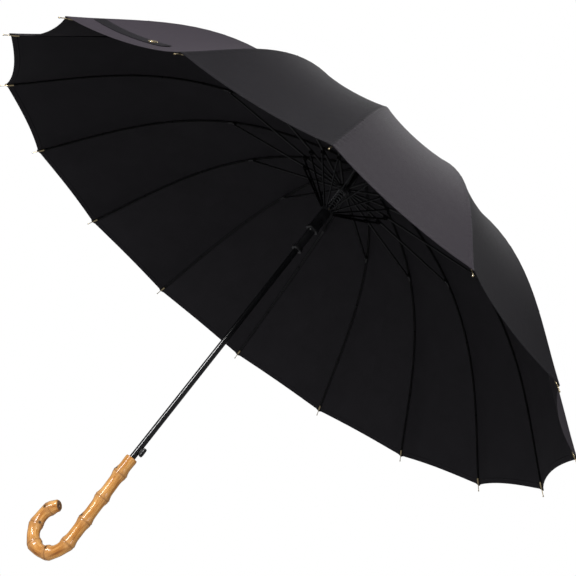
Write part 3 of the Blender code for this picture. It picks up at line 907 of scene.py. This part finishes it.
BAR = [(-x, -y) for x, y in CHANNEL]
stretcher = Shape()
rings = []
for x, wx, wy in ((0.0, 0.42, 0.62), (0.0012, 0.48, 0.75), (0.0050, 0.50, 0.80),
                  (0.0085, 0.90, 0.98), (0.0120, 1.08, 1.04),
                  (0.0600, 1.10, 1.05), (0.1500, 1.10, 1.05),
                  (REACH - 0.0120, 1.06, 1.00), (REACH - 0.0070, 0.70, 0.88),
                  (REACH - 0.0030, 0.62, 0.80), (REACH + 0.0009, 0.60, 0.66)):
    r, z = on_stretcher(x)
    rings.append(section_ring(r, z, S_SLOPE, BAR, wx, wy))
stretcher.loft(rings)
LINK_AT = 0.0705
saddle = Shape()
rings = []
for k, off in enumerate((-0.0044, -0.0038, -0.0018, 0.0018, 0.0038, 0.0044)):
    r, z = on_stretcher(LINK_AT + off)
    deep = 1.62 if k in (2, 3) else 0.75
    rings.append(section_ring(r, z, S_SLOPE, [
        (x, y * (deep if y < 0 else 1.06)) for x, y in EAR]))
saddle.loft(rings)
LINK_TOP = on_stretcher(LINK_AT, 0.004)
rivet(saddle, LINK_TOP, 0.00205)

link = Shape()
LINK_LOW = (LINK_PIVOT_R, LOWER_Z)
plate(link, LINK_LOW, LINK_TOP, 0.0017, 0.0019, 0.00075, 0.00125)

for i in range(N_RIBS):
    at, tag = turn_to(i), f"{i + 1:02d}"
    piece(f"rib_channel_{tag}", inner.moved(at), RIB, f"rib_{tag}",
          stands=(f"rib_inner_{tag}",))
    piece(f"rib_clip_{tag}", clip.moved(at), RIB, f"rib_{tag}")
    piece(f"rib_rivet_{tag}", pin.moved(at), STEEL, f"rib_{tag}")
    piece(f"rib_end_channel_{tag}", outer.moved(at), RIB, f"rib_end_{tag}",
          stands=(f"rib_outer_{tag}",))
    piece(f"rib_end_wrap_{tag}", hinge_wrap.moved(at), RIB, f"rib_end_{tag}")
    piece(f"rib_tip_{tag}", tip.moved(at), GOLD, f"rib_end_{tag}")
    for name, shape, body in ((f"tie_inner_{tag}", ties_in, f"rib_{tag}"),
                              (f"tie_outer_{tag}", ties_out, f"rib_end_{tag}")):
        moved = shape.moved(at)
        ob = piece(name, moved, THREAD, body, 60,
                   uv=flat_points(moved))
    piece(f"stretcher_channel_{tag}", stretcher.moved(at), RIB,
          f"stretcher_{tag}", stands=(f"stretcher_{tag}",))
    piece(f"stretcher_saddle_{tag}", saddle.moved(at), RIB, f"stretcher_{tag}")
    ob = piece(f"link_{tag}", link.moved(at), CHROME, f"stretcher_{tag}")
    n = at.to_3x3() @ Vector((math.sin(S_SLOPE), 0, math.cos(S_SLOPE)))
    r, z = on_stretcher(LINK_AT, 0.0034)
    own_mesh(ob)

# ------------------------------------------------------------- the runners


def notched(shape, profile, slot_half, slot_r, inner_r, teeth=N_RIBS, arc=6):
    """A ring whose rim is notched at each rib; profile is (radius, z) of the
    outside from top to bottom."""
    rings = []
    rows = profile
    loops = []
    for radius, z in rows:
        ring = []
        for i in range(teeth):
            a0 = azimuth(i)
            floor = math.asin(slot_half / slot_r)
            lip = math.asin(slot_half / radius)
            ring.append((slot_r, a0 - floor, z))
            ring.append((slot_r, a0 + floor, z))
            ring.append((radius, a0 + lip, z))
            for k in range(1, arc):
                ring.append((radius, a0 + lip + (RIB_STEP - 2 * lip) * k / arc, z))
            ring.append((radius, a0 + RIB_STEP - lip, z))
        loops.append([(r * math.cos(a), r * math.sin(a), h) for r, a, h in ring])
    flat = [(inner_r, 0, 0)] * 0
    top = [(inner_r * math.cos(math.atan2(y, x)), inner_r * math.sin(math.atan2(y, x)),
            z) for x, y, z in loops[0]]
    low = [(inner_r * math.cos(math.atan2(y, x)), inner_r * math.sin(math.atan2(y, x)),
            z) for x, y, z in loops[-1]]
    shape.loft([top] + loops + [low], caps=False, closed=True)
    return shape


sleeve = Shape()
notched(sleeve, [(0.0101, LOWER_Z + 0.0045), (0.0106, LOWER_Z + 0.0043),
                 (0.0108, LOWER_Z + 0.0038), (0.0108, LOWER_Z - 0.0024),
                 (0.0105, LOWER_Z - 0.0029), (0.0101, LOWER_Z - 0.0031)],
        0.00105, 0.0084, 0.0070)
sleeve.turned([
    (r, z + LOWER_Z) for r, z in (
        (0.0070, -0.0030), (0.0089, -0.0030), (0.0090, -0.0034),
        (0.0090, -0.0160), (0.0088, -0.0163), (0.0088, -0.0169),
        (0.0090, -0.0172), (0.0090, -0.0372), (0.0093, -0.0378),
        (0.0102, -0.0380), (0.0105, -0.0383), (0.0107, -0.0390),
        (0.0107, -0.0422), (0.0105, -0.0429), (0.0101, -0.0433),
        (0.0080, -0.0437), (0.0072, -0.0440), (0.0069, -0.0446),
        (0.0066, -0.0480), (0.0065, -0.0760), (0.0067, -0.0778),
        (0.0072, -0.0783), (0.0083, -0.0785), (0.0086, -0.0788),
        (0.0088, -0.0795), (0.0088, -0.0834), (0.0086, -0.0841),
        (0.0082, -0.0845), (0.0054, -0.0845), (0.0051, -0.0842),
        (0.0051, -0.0400), (0.0070, -0.0400))], 72)
piece("lower_runner_sleeve", sleeve, PLASTIC, "lower_runner",
      30, stands=("lower_runner",))
ring = Shape()
ring.tube([(LINK_PIVOT_R * math.cos(a), LINK_PIVOT_R * math.sin(a), LOWER_Z)
           for a in (2 * math.pi * k / 64 for k in range(64))], 0.0004, 8,
          closed=True)
piece("lower_runner_wire", ring, STEEL, "lower_runner")
ring = Shape()
ring.tube([(RUNNER_PIVOT_R * math.cos(a), RUNNER_PIVOT_R * math.sin(a), UPPER_Z)
           for a in (2 * math.pi * k / 64 for k in range(64))], 0.0004, 8,
          closed=True)
piece("upper_runner_wire", ring, STEEL, "upper_runner")

hub = Shape()
notched(hub, [(0.0113, UPPER_Z + 0.0018), (0.0119, UPPER_Z + 0.0016),
              (0.0122, UPPER_Z + 0.0010), (0.0122, UPPER_Z - 0.0033),
              (0.0119, UPPER_Z - 0.0038), (0.0113, UPPER_Z - 0.0040)],
        0.00110, 0.0079, 0.0076)
hub.turned([(r, z + UPPER_Z) for r, z in (
    (0.0051, 0.0060), (0.0074, 0.0060), (0.0077, 0.0058), (0.0078, 0.0054),
    (0.0078, -0.0054), (0.0077, -0.0058), (0.0074, -0.0060),
    (0.0051, -0.0060))], 64)
piece("upper_runner_hub", hub, PLASTIC, "upper_runner", 30,
      stands=("upper_runner",))

stud = Shape()
a = math.radians(128)
m = Matrix.Translation((0.01065 * math.cos(a + 0.03), 0.01065 * math.sin(a + 0.03),
                        LOWER_Z - 0.0001)) @ Matrix.Rotation(a, 4, "Z") \
    @ Matrix.Rotation(math.pi / 2, 4, "Y")
stud.turned([(0, 0.0008), (0.0006, 0.0007), (0.0011, 0.0004), (0.0012, 0.0001),
             (0.0012, -0.0008), (0, -0.0008)], 18, m)
piece("lower_runner_rivet", stud, GOLD, "lower_runner")

# Spring: round wire, closed coils at both ends.
LOW, HIGH = LOWER_Z - 0.0400 + 0.00085, UPPER_Z - 0.0060 - 0.00085
coil = []
TURNS, PER = 18, 22
for k in range(TURNS * PER + 1):
    x = k / (TURNS * PER)
    dead = 1.15 / TURNS
    if x < dead:
        h = 0.0012 * x / dead
    elif x > 1 - dead:
        h = (HIGH - LOW) - 0.0012 * (1 - x) / dead
    else:
        h = 0.0012 + (HIGH - LOW - 0.0024) * (x - dead) / (1 - 2 * dead)
    a = 2 * math.pi * x * TURNS
    coil.append((0.0060 * math.cos(a), 0.0060 * math.sin(a), LOW + h))
spring = Shape()
spring.tube(coil, 0.00056, 8)
ob = piece("opening_spring", spring, STEEL, "lower_runner", 60,
           stands=("main_spring",))
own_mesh(ob)

# Shaft: one smooth lacquered tube with its two slots toward the button.
SHAFT_TOP = CROWN_Z + 0.020
SLOT_LOW = (BUTTON_Z - 0.0065, BUTTON_Z + 0.0065, 0.0017)
SLOT_HIGH = (HANDLE_TOP + 0.028, HANDLE_TOP + 0.038, 0.0011)


def shaft_tube():
    around = 96
    marks = sorted({math.pi + sign * math.asin(half / SHAFT_R)
                    for half in (SLOT_LOW[2], SLOT_HIGH[2]) for sign in (-1, 1)})
    angles = [2 * math.pi * k / around for k in range(around)]
    angles = sorted([a for a in angles
                     if min(abs(a - m) for m in marks) > 0.02] + marks)
    heights = sorted({SHAFT_BOTTOM, SLOT_LOW[0], SLOT_LOW[1], SLOT_HIGH[0],
                      SLOT_HIGH[1], SHAFT_TOP - 0.0004}
                     | {SHAFT_BOTTOM + 0.02 + 0.05 * k for k in range(12)})
    heights = [h for h in heights
               if h in (SHAFT_BOTTOM, *SLOT_LOW[:2], *SLOT_HIGH[:2],
                        SHAFT_TOP - 0.0004)
               or min(abs(h - e) for e in (*SLOT_LOW[:2], *SLOT_HIGH[:2],
                                           SHAFT_TOP)) > 0.004]
    shape = Shape()
    n, m = len(angles), len(heights)
    bore = 0.0039
    for radius in (SHAFT_R, bore):
        for h in heights:
            for a in angles:
                shape.v.append(Vector((radius * math.cos(a),
                                       radius * math.sin(a), h)))
    for radius in (SHAFT_R - 0.0003, bore + 0.0001):
        for a in angles:
            shape.v.append(Vector((radius * math.cos(a), radius * math.sin(a),
                                   SHAFT_TOP)))

    def at(layer, row, col):
        return layer * n * m + row * n + col % n

    def lip(layer, col):
        return 2 * n * m + layer * n + col % n

    def open_cell(row, col):
        h = (heights[row] + heights[row + 1]) / 2
        a, b = angles[col], angles[(col + 1) % n]
        if b < a:
            return False
        turn = abs((a + b) / 2 - math.pi)
        return any(lo < h < hi and turn < math.asin(half / SHAFT_R)
                   for lo, hi, half in (SLOT_LOW, SLOT_HIGH))

    cells = {(r, c) for r in range(m - 1) for c in range(n)
             if not open_cell(r, c)}
    for r, c in sorted(cells):
        shape.f.append((at(0, r, c), at(0, r, c + 1), at(0, r + 1, c + 1),
                        at(0, r + 1, c)))
        shape.f.append((at(1, r, c + 1), at(1, r, c), at(1, r + 1, c),
                        at(1, r + 1, c + 1)))
    for r in range(m - 1):
        for c in range(n):
            if (r, c) in cells:
                continue
            for other, p, q in (((r, (c - 1) % n), (r, c), (r + 1, c)),
                                ((r, (c + 1) % n), (r + 1, c + 1), (r, c + 1)),
                                ((r - 1, c), (r, c + 1), (r, c)),
                                ((r + 1, c), (r + 1, c), (r + 1, c + 1))):
                if other in cells:
                    shape.f.append((at(0, *p), at(0, *q), at(1, *q), at(1, *p)))
    for c in range(n):
        shape.f.append((at(0, 0, c), at(1, 0, c), at(1, 0, c + 1),
                        at(0, 0, c + 1)))
        shape.f.append((at(0, m - 1, c), at(0, m - 1, c + 1), lip(0, c + 1),
                        lip(0, c)))
        shape.f.append((lip(0, c), lip(0, c + 1), lip(1, c + 1), lip(1, c)))
        shape.f.append((at(1, m - 1, c), lip(1, c), lip(1, c + 1),
                        at(1, m - 1, c + 1)))
    return shape


piece("shaft_tube", shaft_tube(), SHAFT, "frame", 34,
      stands=("shaft",))

# ---------------------------------------------------------- crown, ferrule
crown = Shape()
notched(crown, [(0.0147, CROWN_Z + 0.0017), (0.0152, CROWN_Z + 0.0015),
                (0.0155, CROWN_Z + 0.0010), (0.0155, CROWN_Z - 0.0024),
                (0.0152, CROWN_Z - 0.0028), (0.0147, CROWN_Z - 0.0030)],
        0.00165, 0.0106, 0.0100)
crown.turned([(r, z + CROWN_Z) for r, z in (
    (0.0050, 0.0017), (0.0101, 0.0017), (0.0101, -0.0030), (0.0088, -0.0032),
    (0.0088, -0.0090), (0.0085, -0.0094), (0.0080, -0.0095),
    (0.0050, -0.0095))], 64)
piece("crown_notch", crown, PLASTIC, "frame", 30,
      stands=("top_notch",))

# Pleated cloth rosette.
rosette = Shape()
rows = []
cols = 96
for layer in (1, -1):
    line = []
    for k in range(7):
        t = k / 6
        r = 0.0052 + (0.0186 - 0.0052) * t
        ring = []
        for j in range(cols):
            a = 2 * math.pi * j / cols
            wave = 0.00016 * math.cos(24 * a) * (0.35 + 0.65 * t) \
                - 0.00010 * t
            edge = 1 + 0.012 * math.cos(24 * a) * t
            ring.append((r * edge * math.cos(a), r * edge * math.sin(a),
                         CROWN_Z + 0.00338 + wave + layer * 0.00016))
        line.append(ring)
    rows.append(line)
rosette.loft(rows[0] + rows[1][::-1], caps=False, closed=True)
ob = piece("cloth_rosette", rosette, CLOTH, "frame", 50,
           stands=("rosette",), uv=flat_points(rosette))
for key in ("rim", "seam"):
    at = ob.data.attributes.new(key, "FLOAT", "POINT")
    at.data.foreach_set("value", [0.05] * len(ob.data.vertices))

ferrule = Shape()
ferrule.turned([(r, z + CROWN_Z) for r, z in (
    (0.0, 0.0620), (0.0026, 0.0620), (0.0031, 0.0618), (0.0034, 0.0612),
    (0.0037, 0.0500), (0.0040, 0.0496), (0.0040, 0.0480), (0.0037, 0.0476),
    (0.0046, 0.0330), (0.0058, 0.0150), (0.0063, 0.0095), (0.0066, 0.0080),
    (0.0070, 0.0070), (0.0080, 0.0063), (0.0098, 0.0058), (0.0102, 0.0055),
    (0.0104, 0.0050), (0.0104, 0.0043), (0.0102, 0.0040), (0.0098, 0.0039),
    (0.0050, 0.0039), (0.0050, 0.0203), (0.0, 0.0203))], 64)
piece("top_ferrule", ferrule, SHAFT, "frame", 34,
      stands=("ferrule",))

# --------------------------------------------------------- release button
# A rounded block with a thumb hollow, and its stem through the tube's slot.
button = Shape()
rings = []
for x, hy, hz in ((-0.00810, 0.0026, 0.0060), (-0.00800, 0.0030, 0.0066),
                  (-0.00830, 0.00328, 0.00695), (-0.01030, 0.00330, 0.00700),
                  (-0.01090, 0.00315, 0.00680), (-0.01125, 0.00270, 0.0062),
                  (-0.01130, 0.0018, 0.0048), (-0.01100, 0.0010, 0.0028)):
    ring = []
    corner = min(hy, hz) * 0.62
    for k in range(32):
        a = 2 * math.pi * k / 32
        cx, cz = math.cos(a), math.sin(a)
        p = (abs(cx) ** 0.55) * math.copysign(1, cx) * hy
        q = (abs(cz) ** 0.55) * math.copysign(1, cz) * hz
        ring.append((x, p, BUTTON_Z + q))
    rings.append(ring)
button.loft(rings[1:])
for z0 in (-0.0036, -0.0018, 0.0, 0.0018, 0.0036):
    button.tube([(-0.01118 - 0.0001 * (1 - abs(t)), 0.0021 * t, BUTTON_Z + z0)
                 for t in (-1, -0.6, -0.2, 0.2, 0.6, 1)], 0.00028, 6)
stem = [(-0.0086, -0.00042), (-0.0024, 0.0)]
rings = []
for x in (-0.0084, -0.0026):
    rings.append([(x, y, BUTTON_Z + z) for y, z in (
        (-0.0013, -0.0040), (-0.0010, -0.0045), (0.0010, -0.0045),
        (0.0013, -0.0040), (0.0013, 0.0040), (0.0010, 0.0045),
        (-0.0010, 0.0045), (-0.0013, 0.0040))])
button.loft(rings)
piece("thumb_button", button, PLASTIC, "release_button", 40,
      stands=("release_button",))

# -------------------------------------------------------------------- strap
STRAP_S0, STRAP_S1 = 0.5365, 0.5545


def strap_band():
    s = Shape()
    uvs, rims, seams = [], [], []
    rings = []
    n = 40
    for k in range(n + 1):
        t = k / n
        u = 0.03 + (0.69 - 0.03) * t
        r_here = rib_point(0.545)[0]
        width = 2 * r_here * math.sin(RIB_STEP / 2)
        left = (1 - t) * 0.66 * width
        nose = min(1.0, max(0.10, math.sqrt(max(0.0, 1 - (
            1 - min(1.0, left / 0.007)) ** 2))))
        row_top, row_low = [], []
        for j in range(9):
            f = j / 8
            half = (STRAP_S1 - STRAP_S0) / 2 * nose
            sc = (STRAP_S0 + STRAP_S1) / 2 + (2 * f - 1) * half
            d = 2 * u
            mid = cloth_mid(sc, 0, d if d <= 1 else d)
            out = cloth_out(sc, 0, d)
            puff = 0.00016 * (1 - (2 * f - 1) ** 4)
            edge = -0.00020 if j in (0, 8) else 0.0
            groove = -0.00014 if j in (1, 7) else 0.0
            row_top.append(mid + out * (0.0009 + 0.0004 + puff + edge + groove))
            row_low.append(mid + out * (0.0009 - 0.0003 - edge * 0.5))
            uvs.append((u * width, sc))
        rings.append((row_top, row_low))
    base = 0
    verts, faces = [], []
    for row_top, row_low in rings:
        verts += row_top + row_low[::-1]
    m = 18
    for k in range(n):
        for j in range(m):
            q = (j + 1) % m
            faces.append((k * m + j, k * m + q, (k + 1) * m + q, (k + 1) * m + j))
    faces.append(tuple(range(m)))
    faces.append(tuple(n * m + j for j in range(m)))
    s.v, s.f = verts, faces
    uv = []
    for k in range(n + 1):
        for j in range(m):
            f = j / 8 if j < 9 else (17 - j) / 8
            uv.append((0.10 * k / n, 0.018 * f))
            rims.append(0.0048 + 0.018 * min(f, 1 - f))
            seams.append(0.05)
    return s, uv, rims, seams


s, uv, rims, seams = strap_band()
ob = piece("tie_strap", s, STRAP, "rib_end_01", 40,
           stands=("strap",), uv=uv)
at = ob.data.attributes.new("rim", "FLOAT", "POINT")
at.data.foreach_set("value", rims)
at = ob.data.attributes.new("seam", "FLOAT", "POINT")
at.data.foreach_set("value", seams)
r, z = rib_point(0.545)
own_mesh(ob)

mid_s, du = (STRAP_S0 + STRAP_S1) / 2, 0.5445 * 2
here = cloth_mid(mid_s, 0, du)
out = cloth_out(mid_s, 0, du)
across = (cloth_mid(mid_s, 0, du + 0.03) - cloth_mid(mid_s, 0, du - 0.03))
x = (across - out * across.dot(out)).normalized()
y = out.cross(x)
m = Matrix(((x.x, y.x, out.x, here.x), (x.y, y.y, out.y, here.y),
            (x.z, y.z, out.z, here.z), (0, 0, 0, 1))) \
    @ Matrix.Translation((0, 0, 0.0015))
snap = Shape()
snap.turned([(0.0, 0.00175), (0.0016, 0.0017), (0.0026, 0.0015),
             (0.0030, 0.00125), (0.0034, 0.0013), (0.0050, 0.0012),
             (0.0056, 0.0009), (0.0058, 0.0005), (0.0057, 0.0001),
             (0.0050, 0.0), (0.0, 0.0)], 40, m)
ob = piece("strap_press_snap", snap, GOLD, "rib_end_01", 34,
           stands=("strap_snap",))
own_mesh(ob)

# ------------------------------------------------------------------ handle


def grip_path():
    pts = []
    lean = HOOK_X - HOOK_R
    n = 60
    for k in range(n):
        t = k / n
        z = HANDLE_TOP + (HOOK_Z - HANDLE_TOP) * t
        pts.append(Vector((lean * t * t * (3 - 2 * t), 0, z)))
    m = 120
    for k in range(m + 1):
        a = math.pi + (math.pi + HOOK_END) * k / m
        over = max(0.0, (a - 2 * math.pi) / HOOK_END)
        r = HOOK_R + HOOK_GROW * over
        pts.append(Vector((HOOK_X + r * math.cos(a), 0, HOOK_Z + r * math.sin(a))))
    return pts


PATH = grip_path()
LENGTHS = [0.0]
for p, q in zip(PATH, PATH[1:]):
    LENGTHS.append(LENGTHS[-1] + (q - p).length)
TOTAL = LENGTHS[-1]


def on_grip(d):
    d = min(max(d, 0.0), TOTAL)
    lo = 0
    for k in range(len(PATH) - 1):
        if d <= LENGTHS[k + 1]:
            lo = k
            break
    t = (d - LENGTHS[lo]) / (LENGTHS[lo + 1] - LENGTHS[lo])
    return PATH[lo].lerp(PATH[lo + 1], t)


def grip_tangent(d):
    return (on_grip(d + 0.003) - on_grip(d - 0.003)).normalized()


def grip_radius(d):
    """Waist between the joints and a rounded swelling at each."""
    r = 0.00885 + 0.0005 * math.exp(-(d / 0.010) ** 2)
    swell = ring = 0.0
    for k, g in enumerate(GRIP_RINGS):
        x = d - g
        size = (1.0, 1.0, 0.85, 1.0, 0.9, 0.85, 0.8, 0.75)[k]
        r += 0.00205 * size * math.exp(-(abs(x - 0.0006) / 0.0064) ** 2.2)
        r += 0.00022 * math.exp(-((x + 0.0010) / 0.0010) ** 2)
        r -= 0.00034 * math.exp(-((x - 0.0010) / 0.0010) ** 2)
        swell = max(swell, math.exp(-(x / 0.0075) ** 2))
        ring = max(ring, math.exp(-((x - 0.0010) / 0.0012) ** 2))
    return r, swell, ring


CAM_RIGHT = Vector((-0.74277, -0.32357, 0.58616))
CAM_UP = Vector((0.34786, 0.56155, 0.75078))
CAM_BACK = Vector((-0.57209, 0.76156, -0.30454))
# Branch scars: ring number, direction round the cane, length along it.
SCARS = ((0, -0.80 * CAM_RIGHT + 0.42 * CAM_BACK + 0.4 * CAM_UP, -0.0034),
         (1, 0.80 * CAM_RIGHT - 0.9 * CAM_BACK, -0.0026),
         (2, -0.80 * CAM_RIGHT + 0.42 * CAM_BACK + 0.4 * CAM_UP, -0.0034),
         (3, 0.30 * CAM_RIGHT - 0.9 * CAM_BACK, -0.0024),
         (4, 0.35 * CAM_RIGHT + 0.55 * CAM_BACK + 0.75 * CAM_UP, 0.0008),
         (5, -0.6 * CAM_RIGHT - 0.8 * CAM_BACK, -0.0022),
         (6, 0.50 * CAM_RIGHT + 0.80 * CAM_BACK + 0.1 * CAM_UP, 0.0040),
         (7, -0.70 * CAM_RIGHT + 0.60 * CAM_BACK + 0.5 * CAM_UP, -0.0030))


def crook():
    around = 48
    stations = []
    d = 0.0
    while d < TOTAL - 0.0006:
        stations.append(d)
        near = min(abs(d - g) for g in GRIP_RINGS)
        d += 0.00045 if near < 0.0035 else (0.0011 if near < 0.008 else 0.0022)
    stations.append(TOTAL)
    verts, faces = [], []
    facts = {"swell": [], "ring": [], "scar": [], "cut": []}
    grain = []
    side = Vector((0, 1, 0))
    rings = []

    def put(p, swell, ring, scar, cut, g):
        verts.append(p)
        facts["swell"].append(swell)
        facts["ring"].append(ring)
        facts["scar"].append(scar)
        facts["cut"].append(cut)
        grain.append(g)
        return len(verts) - 1

    for d in stations:
        at, t = on_grip(d), grip_tangent(d)
        up = side.cross(t).normalized()
        r, swell, ring = grip_radius(d)
        if d < 0.0012:
            r -= 0.0007 * (1 - d / 0.0012) ** 2
        if TOTAL - d < 0.0022:
            x = 1 - (TOTAL - d) / 0.0022
            r *= 1 - 0.16 * x * x
        row = []
        for k in range(around):
            a = 2 * math.pi * k / around
            direction = side * math.cos(a) + up * math.sin(a)
            oval = 1 + 0.012 * math.cos(2 * a + d * 22) \
                + 0.008 * math.cos(3 * a - d * 31)
            scar = dent = 0.0
            for g, way, off in SCARS:
                x = (d - GRIP_RINGS[g] - off)
                if abs(x) > 0.012:
                    continue
                w = way - t * way.dot(t)
                angle = math.acos(max(-1, min(1, direction.dot(w.normalized()))))
                y = angle * r
                core = math.exp(-(x / 0.0025) ** 2 - (y / 0.0032) ** 2)
                lip = math.exp(-(x / 0.0050) ** 2 - (y / 0.0056) ** 2)
                scar = max(scar, min(1.0, 1.35 * core ** 1.3))
                dent += 0.00100 * lip - 0.00170 * core
            p = at + direction * (r * oval + dent)
            row.append(put(p, swell, ring, scar, 0.0,
                           (r * math.cos(a), r * math.sin(a), d)))
        rings.append(row)
    for p, q in zip(rings, rings[1:]):
        for k in range(around):
            j = (k + 1) % around
            faces.append((p[k], p[j], q[j], q[k]))
    # top cut with the bore for the shaft
    bore = SHAFT_R + 0.0003
    previous = rings[0]
    for radius, depth, cut in ((0.0070, 0.0, 0.75), (bore, 0.0, 0.9),
                               (bore, 0.0002, 0.9), (bore, 0.0448, 1.0)):
        row = []
        for k in range(around):
            a = 2 * math.pi * k / around
            t = grip_tangent(0.0)
            up = side.cross(t).normalized()
            direction = side * math.cos(a) + up * math.sin(a)
            flat = Vector((direction.x, direction.y, 0)).normalized() * radius
            row.append(put(Vector((flat.x, flat.y, HANDLE_TOP - depth)), 0, 0, 0,
                           cut, (radius * math.cos(a), radius * math.sin(a), 0)))
        for k in range(around):
            j = (k + 1) % around
            faces.append((previous[k], row[k], row[j], previous[j]))
        previous = row
    faces.append(tuple(previous))
    # cut end with a shallow pith hollow
    t = grip_tangent(TOTAL)
    up = side.cross(t).normalized()
    end = on_grip(TOTAL)
    previous = rings[-1]
    r_end = 0.0074
    for radius, depth, cut in ((r_end * 0.92, 0.0, 0.8), (r_end * 0.62, 0.0001, 0.9),
                               (r_end * 0.40, 0.0004, 1.0),
                               (r_end * 0.34, 0.0016, 1.0)):
        row = []
        for k in range(around):
            a = 2 * math.pi * k / around
            direction = side * math.cos(a) + up * math.sin(a)
            row.append(put(end + direction * radius - t * depth, 0, 0, 0, cut,
                           (radius * math.cos(a), radius * math.sin(a), TOTAL)))
        for k in range(around):
            j = (k + 1) % around
            faces.append((previous[k], previous[j], row[j], row[k]))
        previous = row
    faces.append(tuple(previous))
    s = Shape()
    s.v, s.f = verts, faces
    ob = piece("bamboo_crook", s, BAMBOO, "frame", 45,
               stands=("handle",))
    for key, values in facts.items():
        at = ob.data.attributes.new(key, "FLOAT", "POINT")
        at.data.foreach_set("value", [float(x) for x in values])
    at = ob.data.attributes.new("grain", "FLOAT_VECTOR", "POINT")
    at.data.foreach_set("vector", [float(c) for g in grain for c in g])
    return ob


crook()

# ------------------------------------------------------- stage and camera
scene.view_settings.view_transform = "Standard"
scene.view_settings.look = "None"

floor_mesh = bpy.data.meshes.new("floor")
bm = bmesh.new()
bmesh.ops.create_circle(bm, cap_ends=True, segments=96, radius=3.2)
bm.to_mesh(floor_mesh)
bm.free()
floor = bpy.data.objects.new("floor", floor_mesh)
floor.location = (0, 0, -0.95)
scene.collection.objects.link(floor)
fm, ft, fb = shader("pale_floor", (0.86, 0.86, 0.85), 0.75)
cl = noise(ft, object_space(ft), 3.0, 3.0)
ft.links.new(ramp(ft, cl, [(0.3, (0.84, 0.84, 0.83)), (0.7, (0.88, 0.88, 0.87))]),
             fb.inputs["Base Color"])
fb.inputs["Emission Color"].default_value = (1.0, 1.0, 0.99, 1)
fb.inputs["Emission Strength"].default_value = 0.15
floor_mesh.materials.append(fm)
floor.visible_glossy = False

world = bpy.data.worlds.new("studio")
scene.world = world
world.use_nodes = True
wt = world.node_tree
wt.nodes.clear()
wo = wt.nodes.new("ShaderNodeOutputWorld")
mix = wt.nodes.new("ShaderNodeMixShader")
path = wt.nodes.new("ShaderNodeLightPath")
lit = wt.nodes.new("ShaderNodeBackground")
seen = wt.nodes.new("ShaderNodeBackground")
lit.inputs["Color"].default_value = (0.96, 0.97, 1.0, 1)
lit.inputs["Strength"].default_value = 0.20
seen.inputs["Color"].default_value = (1, 1, 1, 1)
seen.inputs["Strength"].default_value = 1.0
wt.links.new(path.outputs["Is Camera Ray"], mix.inputs[0])
wt.links.new(lit.outputs[0], mix.inputs[1])
wt.links.new(seen.outputs[0], mix.inputs[2])
wt.links.new(mix.outputs[0], wo.inputs["Surface"])


def area(name, direction, distance, size, power, target=(0, 0, 0.25), size_y=None,
         color=(1, 1, 1)):
    light = bpy.data.lights.new(name, "AREA")
    light.shape = "RECTANGLE"
    light.size = size
    light.size_y = size_y or size
    light.energy = power
    light.color = color
    ob = bpy.data.objects.new(name, light)
    at = Vector(target) + Vector(direction).normalized() * distance
    ob.location = at
    ob.rotation_euler = (Vector(target) - at).to_track_quat("-Z", "Y").to_euler()
    ob.visible_camera = False
    scene.collection.objects.link(ob)
    return ob


def way(azim, elev):
    a, e = math.radians(azim), math.radians(elev)
    return (math.cos(a) * math.cos(e), math.sin(a) * math.cos(e), math.sin(e))


area("key_left", way(77, 18), 1.6, 0.26, 34.0, target=(0, 0, 0.08), size_y=1.4)
fill = area("fill_front", (CAM_RIGHT * 0.35 + CAM_BACK * 0.9 + CAM_UP * 0.1), 2.4,
            1.8, 26.0, target=(0, 0, 0.25))
fill.visible_glossy = False
area("panel_b", way(165, 25), 2.0, 0.8, 8.0, target=(-0.2, 0.3, 0.45))
area("top", way(-62, 59), 2.0, 1.0, 8.0, target=(-0.2, 0.3, 0.45))

cam_data = bpy.data.cameras.new("camera")
cam_data.sensor_width = 36.0
cam_data.lens = 62.34
cam_data.clip_start, cam_data.clip_end = 0.01, 60
cam = bpy.data.objects.new("camera", cam_data)
cam.matrix_world = Matrix((
    (CAM_RIGHT.x, CAM_UP.x, CAM_BACK.x, -0.89851),
    (CAM_RIGHT.y, CAM_UP.y, CAM_BACK.y, 1.15228),
    (CAM_RIGHT.z, CAM_UP.z, CAM_BACK.z, -0.07118),
    (0, 0, 0, 1)))
scene.collection.objects.link(cam)
scene.camera = cam
bpy.context.view_layer.update()
